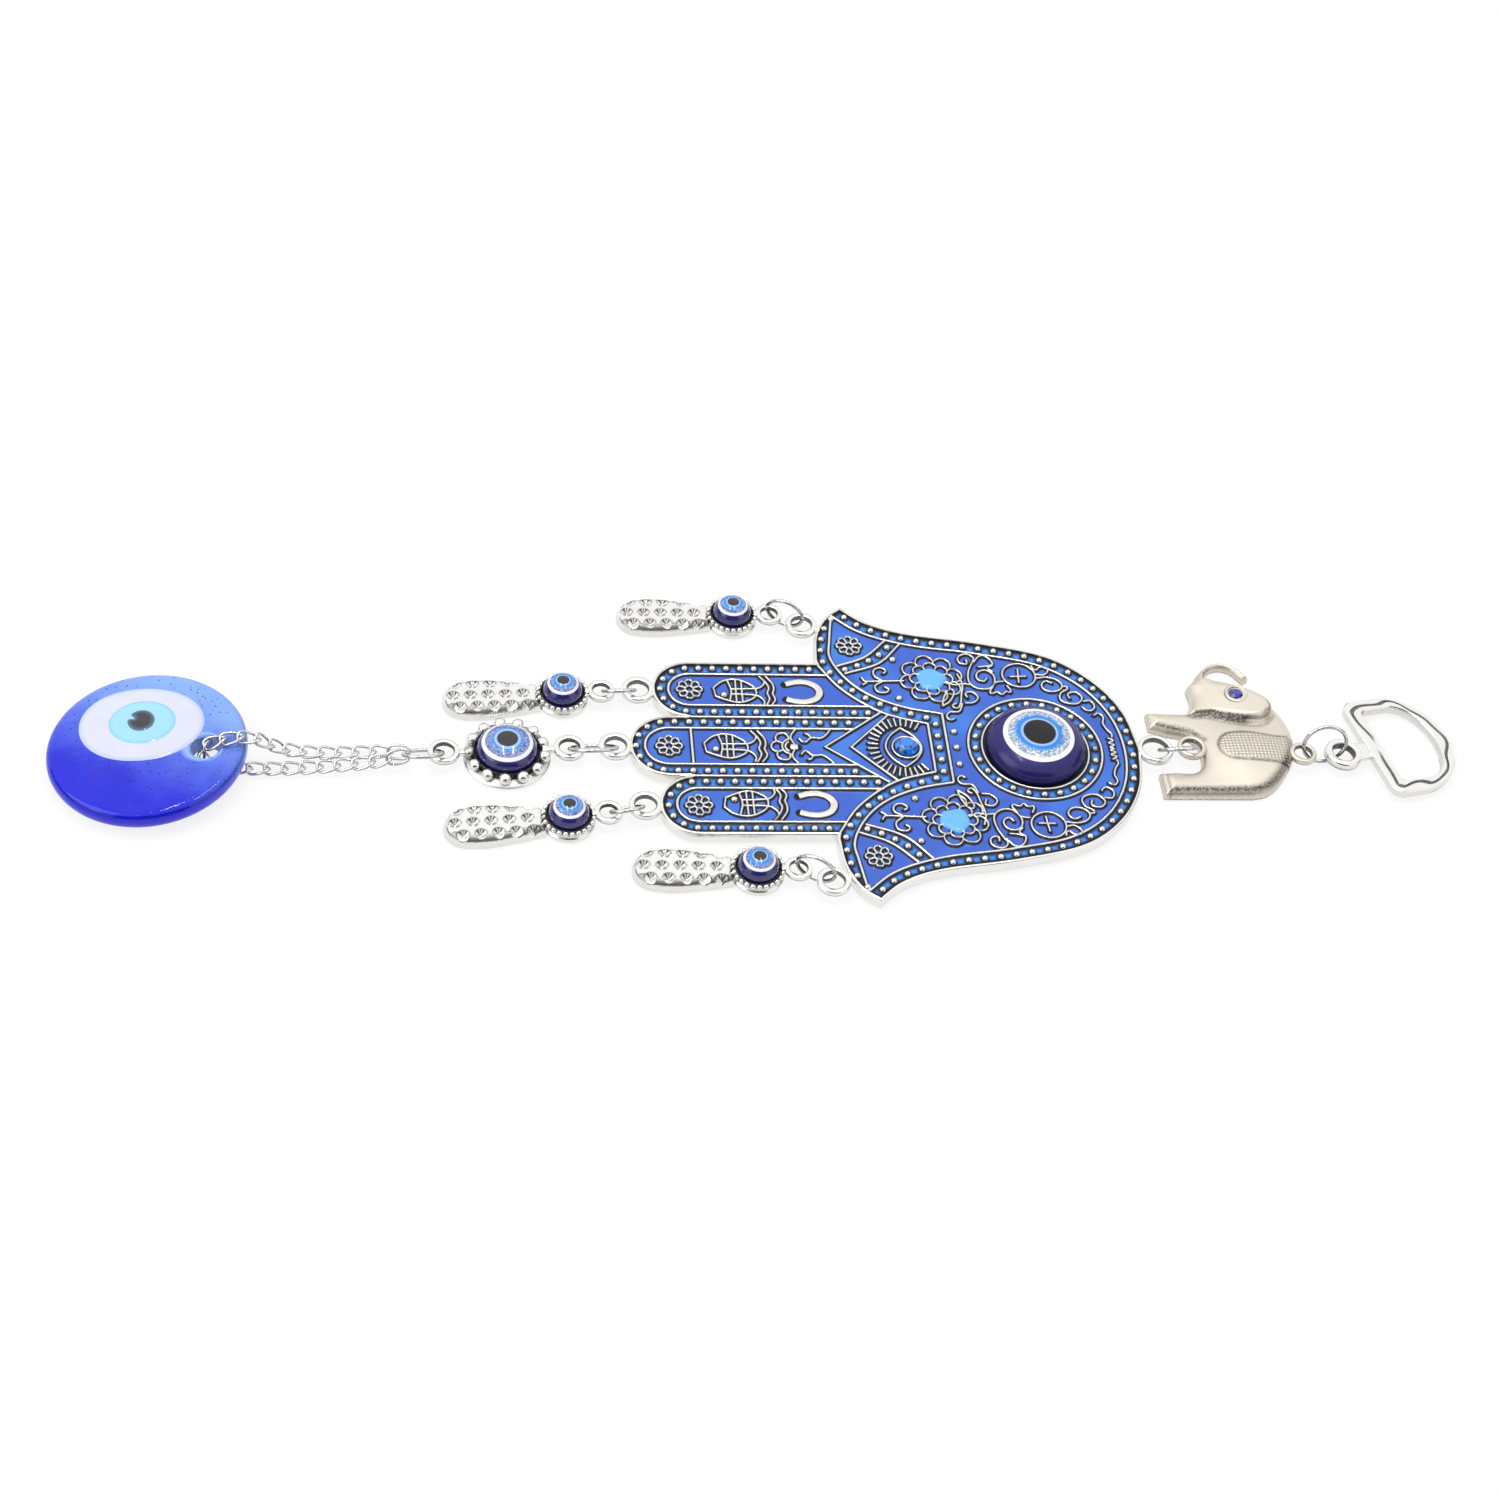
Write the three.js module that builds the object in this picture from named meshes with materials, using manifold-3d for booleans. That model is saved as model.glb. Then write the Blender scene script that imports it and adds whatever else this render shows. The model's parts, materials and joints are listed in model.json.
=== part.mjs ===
// Hanging evil eye ornament: a cast hand with an elephant, a hanger and four dangles,
// and a glass eye on a doubled chain. It lies face up, as it does on a table.
// Millimetres and degrees, +Z up. The origin is on the back of the hand, under the palm eye.
// +X points to the hanger, which is the top of the ornament when it hangs.
import * as THREE from "three";
import { mergeVertices } from "three/addons/utils/BufferGeometryUtils.js";
import Module from "manifold-3d";

const wasm = await Module();
wasm.setup();

// Clearances
const GLUE = 0.2; // under a stone in its seat
const SEAT_SLACK = 0.3; // around a stone in its seat
const RING_SLACK = 0.3; // between a jump ring's wire and what it holds

// Hand plate, measured from the palm centre
const PLATE_T = 2.8;
const BED = 0.45; // depth of the enamel bed below the raised lines
const RIM = 0.8;
const LINE = 0.6; // width of a raised line
const BORDER = 3.3; // from the edge to the inner border line
const WRIST = 21.8;
const FINGER_W = 15.3;
const MIDDLE_W = 16;
const FINGER_PITCH = 15.5;
const INDEX_TIP = 77;
const MIDDLE_TIP = 82.2;
const FINGER_ROOT = 41;
const THUMB_TIP = [-36, 39.7];
const PALM_EDGE = [[20.1, 10.4], [14.8, 19.5], [6, 26.1], [-8, 29.8], [-23, 32.3], [-31, 35.4]];
const THUMB_EDGE = [[-39.6, 36.6], [-42.2, 31], [-42.9, 24]];

// Raised lines of the hand, upper half
const FIELD_LINE = [[-39.3, 29.5], [-39.7, 25.5], [-37.5, 20], [-33, 14.9], [-26, 11.2], [-18, 9.3]];
const BAND_LINE = [[-42.3, 22.6], [-38.4, 16.4], [-32, 10.6], [-28.6, 8.7], [-21.3, 6.5]];
const STRIP_LINES = [
  [[-38.5, 22.5], [-32.4, 25.2], [-27.6, 30]],
  [[-37, 20.4], [-29.4, 23.6], [-24.6, 29]],
];
const CHEVRONS = [[-43, -30.9, 9.4], [-37.7, -29.2, 8.9]];
const CHEVRON_SIDE = 4.85;

// Palm setting
const PALM_EYE_D = 20;
const PALM_EYE_H = 5.2;
const BEZEL_LINES = [10.9, 13.7]; // radii of the two raised rings

// Stones on the hand
const KITE_STONE = [-26.5, 0];
const KITE_STONE_D = 4.8;
const KITE_STONE_H = 1.7;
const FLOWER = [-19, 19.2];
const FLOWER_DROP_D = 5.4;
const FLOWER_DROP_H = 0.8;

// Round wire eyes: mean radius and wire radius
const FINGER_EYE = { radius: 2.55, wire: 0.48 };
const WRIST_EYE = { radius: 3.2, wire: 0.55 };
const DANGLE_EYE = { radius: 2.1, wire: 0.42 };
const CONNECTOR_EYE = { radius: 2.4, wire: 0.45 };
const BELLY_EYE = { radius: 2.4, wire: 0.48 };
const BACK_EYE = { radius: 2.2, wire: 0.45 };
const HANGER_EYE = { radius: 2.9, wire: 0.7 };
const EYE_Z = 2.25; // height of an eye's middle
const EYE_STEM = 0.3; // from a finger tip to its eye's wire
const THUMB_EYE = { anchor: [-41.4, 33], direction: 154, stem: 1.1 };

// Jump rings: mean radius, wire radius, distance of the eyes' line from the ring's centre, lean
const SMALL_RING = { radius: 3.2, wire: 0.42, drop: 0.8, lean: 46 };
const WRIST_RING = { radius: 3.8, wire: 0.42, drop: 1.8, lean: 132 };
const MIDDLE_RING = { radius: 4.7, wire: 0.42, drop: 2, lean: 42 };
const THUMB_RING = { radius: 3.9, wire: 0.4, drop: 2.4, lean: 80 };
const HANGER_RING = { radius: 4.4, wire: 0.4, drop: 2.6, lean: 80 };
const CHAIN_RING = { radius: 3.9, wire: 0.42, drop: 1, lean: 38 };

// Directions in which the pieces lie, from +X
const INDEX_RING_AT = 183;
const INDEX_AT = 183.5;
const RING_FINGER_RING_AT = 194;
const RING_FINGER_AT = 186;
const FAR_THUMB_RING_AT = 155;
const FAR_THUMB_AT = 180;
const NEAR_THUMB_RING_AT = 154;
const NEAR_THUMB_AT = 178.5;
const MIDDLE_RING_AT = 183;
const CONNECTOR_AT = 183;
const CHAIN_AT = 183;
const ELEPHANT_RING_AT = 5;
const HANGER_RING_AT = -1;
const HANGER_AT = 13.5;

// Feather dangle, from its wire eye
const DANGLE_EYE_D = 8;
const DANGLE_EYE_H = 4.3;
const DANGLE_CUP_AT = 7.8;
const DANGLE_CUP_WALL = 0.55;
const DANGLE_SEAT_Z = 1.6;
const DANGLE_LIP = 1.1;
const FEATHER_TIP = 32;
const FEATHER_W = 9.6;
const FEATHER_NECK_W = 6.2;
const FEATHER_T = 2.5;

// Round connector, from its wire eye
const CONNECTOR_STONE_D = 12;
const CONNECTOR_STONE_H = 4.2;
const CONNECTOR_CUP_AT = 12.3;
const CONNECTOR_LENGTH = 24.7;
const CONNECTOR_CUP_WALL = 0.9;
const CONNECTOR_SEAT_Z = 1.4;
const CONNECTOR_LIP = 1.2;
const BORDER_BEADS = 13;
const BORDER_BEAD_D = 3.1;
const NECK_W = 1.5;
const NECK_T = 1.2;

// Elephant, from the eye under its belly
const ELEPHANT_T = 2.2;
const LEG_END = -7.6;
const FRONT_LEG = [[-4.4, 4.9], [0, 3.7], [2.1, 1.6]];
const FRONT_FOOT = [6.2, 10.4];
const CHEST = [[1.2, 10.2], [2.6, 13.6], [2.4, 17.4]];
const TRUNK_OUTER = [[3.7, 18.8], [5.6, 21.7], [8.4, 24.4], [11.2, 25.1], [14.4, 23.8], [16.5, 20.8]];
const TRUNK_INNER = [[15.2, 20], [13, 22.9], [10.6, 23.7], [8.4, 22.9], [7.1, 20.8], [8.2, 18.5]];
const ELEPHANT_BACK = [[13, 17.2], [16.8, 15], [19.8, 12.2], [21.8, 7.6], [22.2, 2.8], [21, -2.6]];
const RUMP = [[17.4, -8.2], [14, -11.3], [10.6, -12.2]];
const REAR_FOOT = [-12.2, -6.2];
const REAR_LEG = [[-4.4, -6], [-0.4, -6], [1.5, -4.3], [2.1, -2]];
const SWELL_ROOT = 0.4; // depth of a swelling's widest line below the flat top
const BODY_SWELL = { at: [12, -1.5], size: [8.6, 9.8, 2] };
const EAR_SWELL = { at: [10.8, 10.6], size: [8.6, 4.2, 2.1] };
const FRONT_LEG_SWELL = { at: [-1.3, 7.6], size: [6, 2.2, 1.3] };
const REAR_LEG_SWELL = { at: [-0.3, -9.1], size: [7, 2.8, 1.5] };
const BROW = [11.7, 13.4];
const BROW_SETTING_D = 4.9;
const BROW_SETTING_Z = 4.3;
const BROW_STONE_D = 3.4;
const BROW_STONE_H = 1.2;
const BROW_SEAT_DEPTH = 0.7;
const BACK_EYE_AT = [23.2, -1.4];

// Hanger, from its eye
const HANGER_T = 2.2;
const HANGER_BAR_AT = 5.7;
const HANGER_DEPTH = 18.9;
const HANGER_W = 26;
const HANGER_BAND = 3.2;
const HANGER_STRAIGHT = 6.5;
const HANGER_CORNER = 2.6;
const HANGER_NECK_W = 4.4;

// Chain
const LINK_INNER_L = 3.9;
const LINK_INNER_W = 2.2;
const LINK_WIRE = 0.28; // wire radius
const LINK_TWIST = 40;
const LINK_FULLNESS = 0.75; // power of the oval: 1 is an ellipse, less is fuller
const LINK_PLAY = 0.518; // how much closer two links lie than the taut chain allows
const LINK_COUNT = 25;
const STRAND = 1.75; // half the distance between the two strands
const STRAND_OVER = 0.4; // share of that distance where the upper strand lies on the glass
const STRAND_UNDER = 0.7; // and where the lower one passes below its rim
const STRAND_DOWN = 0.3; // and where the chain goes down the hole
const CHAIN_SETTLE = 5; // from the ring to where the strands lie on the table
const CHAIN_LIFT = 15; // before the glass, where the upper strand starts to rise
const CHAIN_CLIMB = 7; // and where it is half way up
const CHAIN_CREST = 0.8; // and where it is up
const CHAIN_LAID = 3.5; // behind the rim, where it lies on the glass
const CHAIN_TUCKED = 2; // behind the rim, where the lower strand lies below the glass
const HOOK_ANGLES = [-26, 16]; // where the two end links sit on the chain ring
const LINK_CLEAR = 0.08; // below a link that lies on something

// Glass eye disc
const DISC_D = 38.4;
const DISC_T = 4;
const DISC_EDGE = 1.6; // radius of its rounded edge
const DISC_TILT = 3.9;
const DISC_AT = 171.8;
const HOLE_D = 5.6;
const HOLE_IN = 7.8; // from the rim to the hole's middle
const HOLE_PASS = 1.1; // from the hole's middle to the chain that goes down it

// Facets
const RING_STEPS = 16;
const EYE_STEPS = 12;
const WIRE_SIDES = 6;
const LINK_STEPS = 10;
const LINK_SIDES = 5;
const ROUND_STEPS = 20;
const DOME_STEPS = 3;
const CURVE_STEPS = 4; // points along each stretch of an outline
const REACH_STEPS = 180; // points of a ring that are held clear of an eye
const REACH_STEP = 0.01;
const CHAIN_TRIES = 8; // rounds that fit the hole's place to the chain's length
const CHAIN_PARTS = 600; // parts that the chain's route is measured in

const SILVER = { color: 0xd9dade, roughness: 0.3, metalness: 1 };
const WARM_SILVER = { color: 0xded6c8, roughness: 0.36, metalness: 1 };
const NICKEL = { color: 0xd4d6da, roughness: 0.22, metalness: 1 };
const ENAMEL = { color: 0x5a78d8, roughness: 0.25, metalness: 0 };
const EYE_RESIN = { color: 0x231f66, roughness: 0.08, metalness: 0 };
const CRYSTAL = { color: 0x1a58d0, roughness: 0.05, metalness: 0 };
const COBALT_GLASS = { color: 0x2f44e0, roughness: 0.06, metalness: 0 };

const radians = THREE.MathUtils.degToRad;
const mirrored = (points) => points.map(([x, y]) => [x, -y]).reverse();
const vectors = (points) => points.map(([x, y]) => new THREE.Vector2(x, y));

function polar(length, direction) {
  return new THREE.Vector2(length * Math.cos(radians(direction)), length * Math.sin(radians(direction)));
}

// Solids

function bare(geometry) {
  const copy = geometry.index ? geometry.clone() : geometry;
  copy.deleteAttribute("normal");
  copy.deleteAttribute("uv");
  return mergeVertices(copy, 1e-4);
}

function toSolid(geometry) {
  const merged = bare(geometry);
  return new wasm.Manifold(new wasm.Mesh({
    numProp: 3,
    vertProperties: new Float32Array(merged.attributes.position.array),
    triVerts: new Uint32Array(merged.index.array),
  }));
}

function toGeometry(solid) {
  const mesh = solid.getMesh();
  const geometry = new THREE.BufferGeometry();
  geometry.setAttribute("position", new THREE.Float32BufferAttribute(mesh.vertProperties, 3));
  geometry.setIndex(new THREE.Uint32BufferAttribute(mesh.triVerts, 1));
  geometry.computeVertexNormals();
  return geometry;
}

function join(pieces) {
  return toGeometry(pieces.map(toSolid).reduce((whole, piece) => whole.add(piece)));
}

function cut(geometry, tools) {
  return toGeometry(tools.map(toSolid).reduce((left, tool) => left.subtract(tool), toSolid(geometry)));
}

function piece(name, geometry, look) {
  const mesh = new THREE.Mesh(geometry, new THREE.MeshStandardMaterial(look));
  mesh.name = name;
  return mesh;
}

// Outlines

function curve(points, steps = CURVE_STEPS * (points.length - 1)) {
  return new THREE.SplineCurve(vectors(points)).getSpacedPoints(steps).map((p) => [p.x, p.y]);
}

function slab(points, bottom, top) {
  const shape = new THREE.Shape(vectors(points));
  const geometry = new THREE.ExtrudeGeometry(shape, { depth: top - bottom, bevelEnabled: false });
  return geometry.translate(0, 0, bottom);
}

// Moves an outline sideways by a distance, to its left, with mitred corners
function shifted(points, distance, closed) {
  const flat = vectors(points);
  const last = flat.length - 1;
  return flat.map((point, i) => {
    const before = flat[i === 0 ? (closed ? last : 0) : i - 1];
    const after = flat[i === last ? (closed ? 0 : last) : i + 1];
    const into = (i === 0 && !closed ? after.clone().sub(point) : point.clone().sub(before)).normalize();
    const out = (i === last && !closed ? into.clone() : after.clone().sub(point)).normalize();
    const reach = distance / (1 + into.dot(out));
    return [point.x - (into.y + out.y) * reach, point.y + (into.x + out.x) * reach];
  });
}

// A raised line of the plate along a path
function raised(points) {
  const sides = [...shifted(points, -LINE / 2, false), ...shifted(points, LINE / 2, false).reverse()];
  return slab(sides, PLATE_T - 2 * BED, PLATE_T);
}

function disc(radius, bottom, top, steps = ROUND_STEPS) {
  const geometry = new THREE.CylinderGeometry(radius, radius, top - bottom, steps);
  return geometry.rotateX(Math.PI / 2).translate(0, 0, (bottom + top) / 2);
}

function raisedRing(radius) {
  const inner = radius - LINE / 2;
  const outer = radius + LINE / 2;
  const root = PLATE_T - 2 * BED;
  const profile = [[inner, root], [outer, root], [outer, PLATE_T], [inner, PLATE_T], [inner, root]];
  return new THREE.LatheGeometry(vectors(profile), ROUND_STEPS).rotateX(Math.PI / 2);
}

function dome(diameter, height) {
  const profile = [[0, 0], [diameter / 2, 0]];
  const rise = height * 0.75;
  const wall = height - rise;
  for (let step = 0; step < DOME_STEPS; step++) {
    const angle = (step / DOME_STEPS) * (Math.PI / 2);
    profile.push([(diameter / 2) * Math.cos(angle), wall + rise * Math.sin(angle)]);
  }
  profile.push([0, height]);
  return new THREE.LatheGeometry(vectors(profile), ROUND_STEPS).rotateX(Math.PI / 2);
}

function brilliant(diameter, height) {
  const table = diameter * 0.3;
  const profile = [[0, 0], [diameter / 2, 0], [diameter / 2, height * 0.3], [table, height], [0, height]];
  return new THREE.LatheGeometry(vectors(profile), 8).rotateX(Math.PI / 2);
}

function wireEye(eye, z) {
  return new THREE.TorusGeometry(eye.radius, eye.wire, WIRE_SIDES, EYE_STEPS).translate(0, 0, z);
}

function neck(from, to, z) {
  const length = to - from;
  return new THREE.BoxGeometry(length, NECK_W, NECK_T).translate(from + length / 2, 0, z);
}

// Cuts away what would lie below the table
function onTable(geometry) {
  geometry.computeBoundingBox();
  const { min, max } = geometry.boundingBox;
  const depth = max.z - min.z;
  const below = new THREE.BoxGeometry(2 * (max.x - min.x), 2 * (max.y - min.y), depth);
  return cut(geometry, [below.translate((min.x + max.x) / 2, (min.y + max.y) / 2, -depth / 2)]);
}

// Places a piece on the table at a point, turned to a direction
function placed(direction, x, y) {
  const group = new THREE.Group();
  group.position.set(x, y, 0);
  group.rotation.z = radians(direction);
  return group;
}

// Hand

const fingerReach = { middle: MIDDLE_TIP - MIDDLE_W / 2, index: INDEX_TIP - FINGER_W / 2 };

function palmOutline() {
  const upper = [
    ...curve([[WRIST, 0], ...PALM_EDGE, THUMB_TIP]),
    ...curve([THUMB_TIP, ...THUMB_EDGE]).slice(1),
    [-FINGER_ROOT, FINGER_PITCH],
  ];
  return [...upper, ...mirrored(upper).slice(0, -1)];
}

function fingerOutline(reach, width, y) {
  const points = [];
  for (let step = 0; step <= ROUND_STEPS / 2; step++) {
    const angle = Math.PI / 2 + (step / (ROUND_STEPS / 2)) * Math.PI;
    points.push([-reach + (width / 2) * Math.cos(angle), y + (width / 2) * Math.sin(angle)]);
  }
  return [[-FINGER_ROOT + RIM, y + width / 2], ...points, [-FINGER_ROOT + RIM, y - width / 2]];
}

function fingers(margin) {
  return [
    fingerOutline(fingerReach.middle, MIDDLE_W - 2 * margin, 0),
    fingerOutline(fingerReach.index, FINGER_W - 2 * margin, FINGER_PITCH),
    fingerOutline(fingerReach.index, FINGER_W - 2 * margin, -FINGER_PITCH),
  ];
}

function handLines() {
  const upper = [WRIST - BORDER, 0];
  const edge = shifted(curve([[WRIST, 0], ...PALM_EDGE, THUMB_TIP]), BORDER, false);
  edge[0] = upper;
  const corner = edge[edge.length - 1];
  const half = [
    edge,
    curve([corner, ...FIELD_LINE]),
    curve(BAND_LINE),
    ...STRIP_LINES.map((line) => curve(line)),
  ];
  const across = [FIELD_LINE, BAND_LINE].map((line) => line[line.length - 1]);
  const lines = [...half, ...half.map(mirrored), ...across.map(([x, y]) => [[x, y], [x, -y]])];
  for (const [tip, root, side] of CHEVRONS) {
    lines.push([[root, side], [tip, 0], [root, -side]]);
  }
  const [tip, root, side] = CHEVRONS[0];
  const middleEnd = tip + (root - tip) * (CHEVRON_SIDE / side);
  const inner = fingers(BORDER);
  inner[0][0][0] = middleEnd;
  inner[0][inner[0].length - 1][0] = middleEnd;
  inner[1][inner[1].length - 1][0] = BAND_LINE[2][0] - LINE;
  inner[2][0][0] = BAND_LINE[2][0] - LINE;
  const split = (MIDDLE_W + 2 * FINGER_PITCH - FINGER_W) / 4;
  const seams = [split, -split].map((y) => [[-FINGER_ROOT - RIM, y], [root, y]]);
  return [...lines, ...inner, ...seams];
}

// An eye on a stem that stands out from a point of the plate's edge
function edgeEye(eye, [x, y], direction, stem) {
  const reach = stem + eye.radius;
  const at = new THREE.Vector2(x, y);
  at.add(polar(reach, direction));
  const bridge = neck(-RIM, stem, EYE_Z).rotateZ(radians(direction)).translate(x, y, 0);
  return { at, parts: [bridge, wireEye(eye, EYE_Z).translate(at.x, at.y, 0)] };
}

const { anchor: [thumbX, thumbY], direction: thumbTurn, stem: thumbStem } = THUMB_EYE;
const handEyes = {
  wrist: edgeEye(WRIST_EYE, [WRIST, 0], 0, 0),
  middle: edgeEye(FINGER_EYE, [-MIDDLE_TIP, 0], 180, EYE_STEM),
  index: edgeEye(FINGER_EYE, [-INDEX_TIP, FINGER_PITCH], 180, EYE_STEM),
  ringFinger: edgeEye(FINGER_EYE, [-INDEX_TIP, -FINGER_PITCH], 180, EYE_STEM),
  farThumb: edgeEye(FINGER_EYE, [thumbX, thumbY], thumbTurn, thumbStem),
  nearThumb: edgeEye(FINGER_EYE, [thumbX, -thumbY], -thumbTurn, thumbStem),
};

function handPlate() {
  const body = [slab(palmOutline(), 0, PLATE_T), ...fingers(0).map((finger) => slab(finger, 0, PLATE_T))];
  const bedTop = PLATE_T + BED;
  const beds = [
    slab(shifted(palmOutline(), RIM, true), PLATE_T - BED, bedTop),
    ...fingers(RIM).map((finger) => slab(finger, PLATE_T - BED, bedTop)),
  ];
  const rings = BEZEL_LINES.map((radius) => raisedRing(radius));
  const eyes = Object.values(handEyes).flatMap((eye) => eye.parts);
  const bedded = cut(join(body), beds);
  return join([bedded, ...handLines().map(raised), ...rings, ...eyes]);
}

function hand() {
  const group = new THREE.Group();
  group.add(piece("hand_plate", handPlate(), ENAMEL));
  const seat = PLATE_T - BED + GLUE;
  const palm = piece("palm_eye", dome(PALM_EYE_D, PALM_EYE_H), EYE_RESIN);
  palm.position.z = seat;
  const stone = piece("kite_stone", brilliant(KITE_STONE_D, KITE_STONE_H), CRYSTAL);
  stone.position.set(...KITE_STONE, seat);
  group.add(palm, stone);
  for (const [side, y] of [["far", FLOWER[1]], ["near", -FLOWER[1]]]) {
    const drop = piece(`flower_drop_${side}`, dome(FLOWER_DROP_D, FLOWER_DROP_H), ENAMEL);
    drop.position.set(FLOWER[0], y, seat);
    group.add(drop);
  }
  return group;
}

// Jump rings

// Distance from the middle of the eyes' line to an eye whose wire just clears the leaning ring
function eyeReach(ring, held) {
  const half = Math.sqrt(ring.radius ** 2 - ring.drop ** 2);
  const least = held.wire + ring.wire + RING_SLACK;
  const lean = radians(ring.lean);
  const clear = (reach) => {
    for (let step = 0; step < REACH_STEPS; step++) {
      const turn = (step / REACH_STEPS) * 2 * Math.PI;
      const up = ring.drop + ring.radius * Math.sin(turn);
      const across = Math.hypot(ring.radius * Math.cos(turn) - reach, up * Math.cos(lean));
      if (Math.hypot(across - held.radius, up * Math.sin(lean)) < least) return false;
    }
    return true;
  };
  let reach = half + held.radius;
  while (reach > half && !clear(reach)) reach -= REACH_STEP;
  return reach;
}

// Puts a ring through an eye and says where the next eye sits on that ring
function hangRing(name, ring, direction, from, eye, nextEye, z) {
  const along = polar(1, direction);
  const middle = along.clone().multiplyScalar(eyeReach(ring, eye)).add(from);
  const seat = placed(direction, middle.x, middle.y);
  seat.position.z = z;
  const leaning = new THREE.Group();
  leaning.rotation.x = radians(ring.lean);
  const wire = new THREE.TorusGeometry(ring.radius, ring.wire, WIRE_SIDES, RING_STEPS);
  const mesh = piece(name, wire, NICKEL);
  mesh.position.y = ring.drop;
  leaning.add(mesh);
  seat.add(leaning);
  return { seat, middle, next: along.multiplyScalar(eyeReach(ring, nextEye)).add(middle) };
}

// Dangles

const dangleCupRadius = DANGLE_EYE_D / 2 + SEAT_SLACK + DANGLE_CUP_WALL;

function featherOutline() {
  const root = DANGLE_CUP_AT + dangleCupRadius - DANGLE_CUP_WALL / 2;
  const widest = FEATHER_TIP - FEATHER_W * 0.62;
  const side = [[root, FEATHER_NECK_W / 2], [root + FEATHER_W / 2, FEATHER_W * 0.41]];
  const end = [[widest, FEATHER_W / 2], [FEATHER_TIP - FEATHER_W * 0.16, FEATHER_W * 0.36], [FEATHER_TIP, 0]];
  const upper = curve([...side, ...end], 2 * CURVE_STEPS);
  return [...upper, ...mirrored(upper).slice(1)].reverse();
}

function cup(diameter, wall, seatZ, lip) {
  const inner = diameter / 2 + SEAT_SLACK;
  const outer = inner + wall;
  const top = seatZ + lip;
  const profile = [[0, 0], [outer, 0], [outer, top], [inner, top], [inner, seatZ], [0, seatZ]];
  return new THREE.LatheGeometry(vectors(profile), ROUND_STEPS).rotateX(Math.PI / 2);
}

function dangleBody() {
  const bevel = FEATHER_T / 2.5;
  const shape = new THREE.Shape(vectors(featherOutline()));
  const blade = new THREE.ExtrudeGeometry(shape, {
    depth: FEATHER_T - bevel,
    bevelThickness: bevel,
    bevelSize: bevel,
    bevelOffset: -bevel,
    bevelSegments: 2,
  });
  const seat = cup(DANGLE_EYE_D, DANGLE_CUP_WALL, DANGLE_SEAT_Z, DANGLE_LIP).translate(DANGLE_CUP_AT, 0, 0);
  const bridge = neck(DANGLE_EYE.radius, DANGLE_CUP_AT - dangleCupRadius + DANGLE_CUP_WALL / 2, EYE_Z);
  return join([onTable(blade), seat, bridge, wireEye(DANGLE_EYE, EYE_Z)]);
}

function dangle(name, eyeAt, ring, ringAt, direction) {
  const hung = hangRing(`${name}_ring`, ring, ringAt, eyeAt, FINGER_EYE, DANGLE_EYE, EYE_Z);
  const group = placed(direction, hung.next.x, hung.next.y);
  const stone = piece(`${name}_eye`, dome(DANGLE_EYE_D, DANGLE_EYE_H), EYE_RESIN);
  stone.position.set(DANGLE_CUP_AT, 0, DANGLE_SEAT_Z + GLUE);
  group.add(piece(`${name}_dangle`, dangleBody(), SILVER), stone);
  return [hung.seat, group];
}

// Connector

function connectorBody() {
  const seat = cup(CONNECTOR_STONE_D, CONNECTOR_CUP_WALL, CONNECTOR_SEAT_Z, CONNECTOR_LIP);
  const inner = CONNECTOR_STONE_D / 2 + SEAT_SLACK;
  const rimRadius = inner + CONNECTOR_CUP_WALL;
  const beads = [];
  for (let i = 0; i < BORDER_BEADS; i++) {
    const angle = ((i + 0.5) / BORDER_BEADS) * 2 * Math.PI;
    const radius = BORDER_BEAD_D / 2;
    const bead = new THREE.SphereGeometry(radius, 7, 4).rotateX(Math.PI / 2);
    beads.push(bead.translate(rimRadius * Math.cos(angle), rimRadius * Math.sin(angle), radius));
  }
  const room = disc(inner, CONNECTOR_SEAT_Z, CONNECTOR_SEAT_Z + 2 * CONNECTOR_LIP);
  const round = cut(join([seat, ...beads]), [room]).translate(CONNECTOR_CUP_AT, 0, 0);
  const far = CONNECTOR_LENGTH - CONNECTOR_EYE.radius;
  return join([
    round,
    neck(CONNECTOR_EYE.radius, CONNECTOR_CUP_AT - rimRadius, EYE_Z),
    neck(CONNECTOR_CUP_AT + rimRadius, far, EYE_Z),
    wireEye(CONNECTOR_EYE, EYE_Z),
    wireEye(CONNECTOR_EYE, EYE_Z).translate(CONNECTOR_LENGTH, 0, 0),
  ]);
}

// Chain and glass eye

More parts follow.
